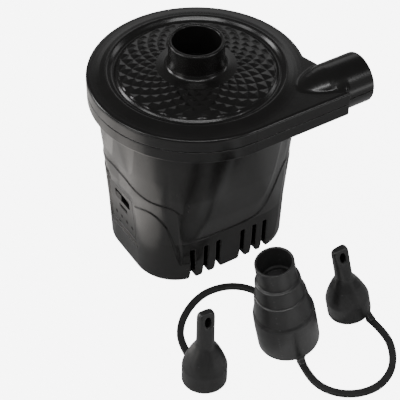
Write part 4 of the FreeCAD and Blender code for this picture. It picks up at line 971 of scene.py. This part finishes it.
def small_field(points, stand, route, lug_height, facing):
    """A pinch-valve nozzle: a six-sided cone on a cup, and a stem pinched to a wedge with a side hole."""
    near = stand.local(points)
    across = near[:, 0] * math.cos(facing) + near[:, 1] * math.sin(facing)
    beside = near[:, 1] * math.cos(facing) - near[:, 0] * math.sin(facing)
    height = near[:, 2]
    radius = np.hypot(near[:, 0], near[:, 1])
    on_cone = ramp(height, 9.5, 13) * (1 - ramp(height, 17, 22))
    sides = 1 - 0.035 * on_cone * np.cos(3 * np.arctan2(beside, across)) ** 2
    solid = SMALL(radius * sides, height)
    widening = PINCH_SPREAD * (SMALL_HEIGHT - height) + 2 * np.maximum(PINCH_FOOT - height, 0)
    solid = smooth_max(solid, np.abs(across) - PINCH_HALF - widening, 0.7)
    tab = lug_field(points, route[-1], heading(route[-2], route[-1]), 3.5, lug_height)
    solid = smooth_min(solid, tab, 1.4)
    cup = np.maximum(radius - SMALL_HOLLOW[0], height - SMALL_HOLLOW[1])
    hollow = np.minimum(cup, np.maximum(radius - SMALL_PASSAGE[0], height - SMALL_PASSAGE[1]))
    oval = np.hypot(beside / PORT_HALF_WIDTH, (height - PORT_Z) / PORT_HALF_HEIGHT)
    port = np.maximum((oval - 1) * PORT_HALF_WIDTH, 0.2 - across)
    solid = np.maximum(solid, -hollow)
    solid = smooth_max(solid, -port, 0.8)
    return np.maximum(solid, 0.01 - points[:, 2])


LEFT_FACING = math.radians(266)
RIGHT_FACING = math.radians(268)


def left_field(points):
    """The small nozzle on the left of the adapter."""
    return small_field(points, LEFT_STAND, LEFT_ROUTE, 2.4, LEFT_FACING)


def right_field(points):
    """The small nozzle on the right of the adapter."""
    return small_field(points, RIGHT_STAND, RIGHT_ROUTE, 3.6, RIGHT_FACING)


# ---------------------------------------------------------------- floor and light

# Distances and sizes in this part are in metres.
FLOOR_REACH = 3.0
FLOOR_GAP = 0.0002
FLOOR_COLOUR = (0.6, 0.6, 0.6)
FLOOR_GLOW = 7.0
WORLD_LIGHT = 0.12
VIEWER = math.radians(-122.1)
MIDDLE = Vector((0, 0, 0.05))
SOFTBOX_DISTANCE = 1.2
PATCH_HEIGHT = 0.002

NEUTRAL = (1.0, 1.0, 1.0)
WARM = (1.0, 0.95, 0.90)

# turn from the viewer, rise above the floor, width, height, watts, tint
SOFTBOXES = [
    (-60, 15, 0.40, 0.50, 0.7, WARM),
    (-68, 41, 0.45, 0.38, 2.6, NEUTRAL),
    (-108, 25, 0.35, 0.45, 4.4, NEUTRAL),
    (60, 20, 0.40, 0.90, 0.3, NEUTRAL),
    (122, 24, 0.25, 0.40, 0.7, NEUTRAL),
    (0, 62, 1.00, 0.12, 4.5, NEUTRAL),
    (63, 38, 0.22, 0.22, 1.2, NEUTRAL),
    (172, 27, 1.20, 0.42, 1.0, NEUTRAL),
]

# turn from the viewer, distance, width, length, brightness, tint of the lit parts of the floor that the
# pump's walls mirror; the camera doesn't see them
FLOOR_PATCHES = [
    (-118, 0.19, 0.10, 0.26, 0.5, WARM),
    (-77, 0.19, 0.12, 0.26, 1.1, WARM),
    (-60, 0.11, 0.07, 0.11, 0.9, WARM),
    (32, 0.19, 0.04, 0.26, 0.3, NEUTRAL),
    (98, 0.19, 0.08, 0.26, 0.12, NEUTRAL),
    (128, 0.19, 0.08, 0.26, 0.25, NEUTRAL),
    (-80, 0.70, 0.80, 0.60, 2.4, NEUTRAL),
    (58, 0.70, 0.50, 0.60, 2.0, NEUTRAL),
]


def make_floor():
    """A pale floor that glows, so that it comes out nearly as white as the photo's.

    Its glow is linked to a collection that holds only the floor, so it lights nothing else.
    """
    mesh = bpy.data.meshes.new("floor")
    corners = ((-1, -1), (1, -1), (1, 1), (-1, 1))
    spots = [(x * FLOOR_REACH, y * FLOOR_REACH, -FLOOR_GAP) for x, y in corners]
    mesh.from_pydata(spots, [], [(0, 1, 2, 3)])
    floor = bpy.data.objects.new("floor", mesh)
    bpy.context.scene.collection.objects.link(floor)
    material, _, shader, _ = new_material("floor_white")
    shader.inputs["Base Color"].default_value = (*FLOOR_COLOUR, 1)
    shader.inputs["Roughness"].default_value = 0.7
    shader.inputs["Specular IOR Level"].default_value = 0.0
    shader.inputs["Emission Color"].default_value = (1, 1, 1, 1)
    shader.inputs["Emission Strength"].default_value = FLOOR_GLOW
    mesh.materials.append(material)
    glow_reach = bpy.data.collections.new("glow_reach")
    glow_reach.objects.link(floor)
    floor.light_linking.receiver_collection = glow_reach


def toward(turn, rise):
    """A direction turned from the viewer's side and raised above the floor, both in degrees."""
    angle = VIEWER + math.radians(turn)
    level = math.cos(math.radians(rise))
    return Vector((level * math.cos(angle), level * math.sin(angle), math.sin(math.radians(rise))))


def area_light(name, spot, aim, width, height, power, tint):
    """A rectangular light at a spot that shines the way it is aimed."""
    data = bpy.data.lights.new(name, "AREA")
    data.shape = "RECTANGLE"
    data.size = width
    data.size_y = height
    data.energy = power
    data.color = tint
    lamp = bpy.data.objects.new(name, data)
    lamp.location = spot
    lamp.rotation_euler = aim.to_track_quat("-Z", "Y").to_euler()
    bpy.context.scene.collection.objects.link(lamp)
    return lamp


def make_lights():
    """The softboxes, the lit parts of the floor and a weak even light from all round."""
    for number, (turn, rise, width, height, power, tint) in enumerate(SOFTBOXES):
        away = toward(turn, rise)
        spot = MIDDLE + away * SOFTBOX_DISTANCE
        area_light("softbox_%d" % number, spot, -away, width, height, power, tint)
    for number, (turn, distance, width, length, brightness, tint) in enumerate(FLOOR_PATCHES):
        spot = Vector((0, 0, PATCH_HEIGHT)) + toward(turn, 0) * distance
        power = math.pi * width * length * brightness
        lamp = area_light("floor_patch_%d" % number, spot, Vector((0, 0, 1)), width, length, power, tint)
        lamp.rotation_euler = (math.pi, 0, VIEWER + math.radians(turn) - math.pi / 2)
        lamp.visible_camera = False
    world = bpy.data.worlds.new("studio")
    world.use_nodes = True
    background = world.node_tree.nodes["Background"]
    background.inputs["Color"].default_value = (1, 1, 1, 1)
    background.inputs["Strength"].default_value = WORLD_LIGHT
    bpy.context.scene.world = world


# ---------------------------------------------------------------- the whole scene

ADAPTER_SPACE = 19.5
SMALL_SPACE = 15.5


def make_nozzles():
    """The adapter and the two small nozzles, with the straps that tie them together."""
    low, high = ADAPTER_STAND.box(ADAPTER_SPACE, ADAPTER_HEIGHT)
    adapter = surface("adapter", adapter_field, low, high, 0.36)
    new_piece("adapter_body", adapter, "nozzle_plastic", "nozzle_set", ["adapter_nozzle"])
    for side, stand, field, route, length in (
        ("left", LEFT_STAND, left_field, LEFT_ROUTE, LEFT_STRAP_LENGTH),
        ("right", RIGHT_STAND, right_field, RIGHT_ROUTE, RIGHT_STRAP_LENGTH),
    ):
        low, high = stand.box(SMALL_SPACE, SMALL_HEIGHT)
        mesh = surface("small_" + side, field, low, high, 0.28)
        nozzle = new_piece(
            "small_%s_body" % side, mesh, "nozzle_plastic", "nozzle_set", ["small_nozzle_" + side]
        )
        make_strap("strap_" + side, route)


# mesh, field, lowest and highest corner of the grid, grid step
COVER = ("cover", cover_field, (-52, -52, 91), (67, 52, 116), 0.4)
VOLUTE = ("volute", volute_field, (-52, -52, 79), (67, 52, 93), 0.45)
SHELL = ("shell", shell_field, (-48, -48, 0), (48, 48, 86), 0.5)
PANEL = ("panel", panel_field, (-42, -9, 16), (-38, 15, 42.5), 0.2)
KNOB = ("knob", knob_field, (-42, 1, 33.5), (-35.5, 7.5, 38.5), 0.12)


def make_pump():
    """The pump's five shown pieces that are finer than their CAD nodes."""
    new_piece("lid_body", surface(*COVER), "cover_plastic", "root", ["top_cover"])
    new_piece("volute_body", surface(*VOLUTE), "cover_plastic", "root", ["lower_volute"])
    new_piece("shell_body", surface(*SHELL), "shell_plastic", "root", ["body_shell"])
    new_piece("panel_body", surface(*PANEL), "panel_plastic", "root", ["control_panel"])
    new_piece("knob_body", surface(*KNOB), "panel_plastic", "switch", ["switch_knob"])


make_camera()
make_nozzles()
make_pump()
for node_name, slot_name in NODE_SLOTS.items():
    finish_with(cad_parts[node_name], slot_name)
make_floor()
make_lights()
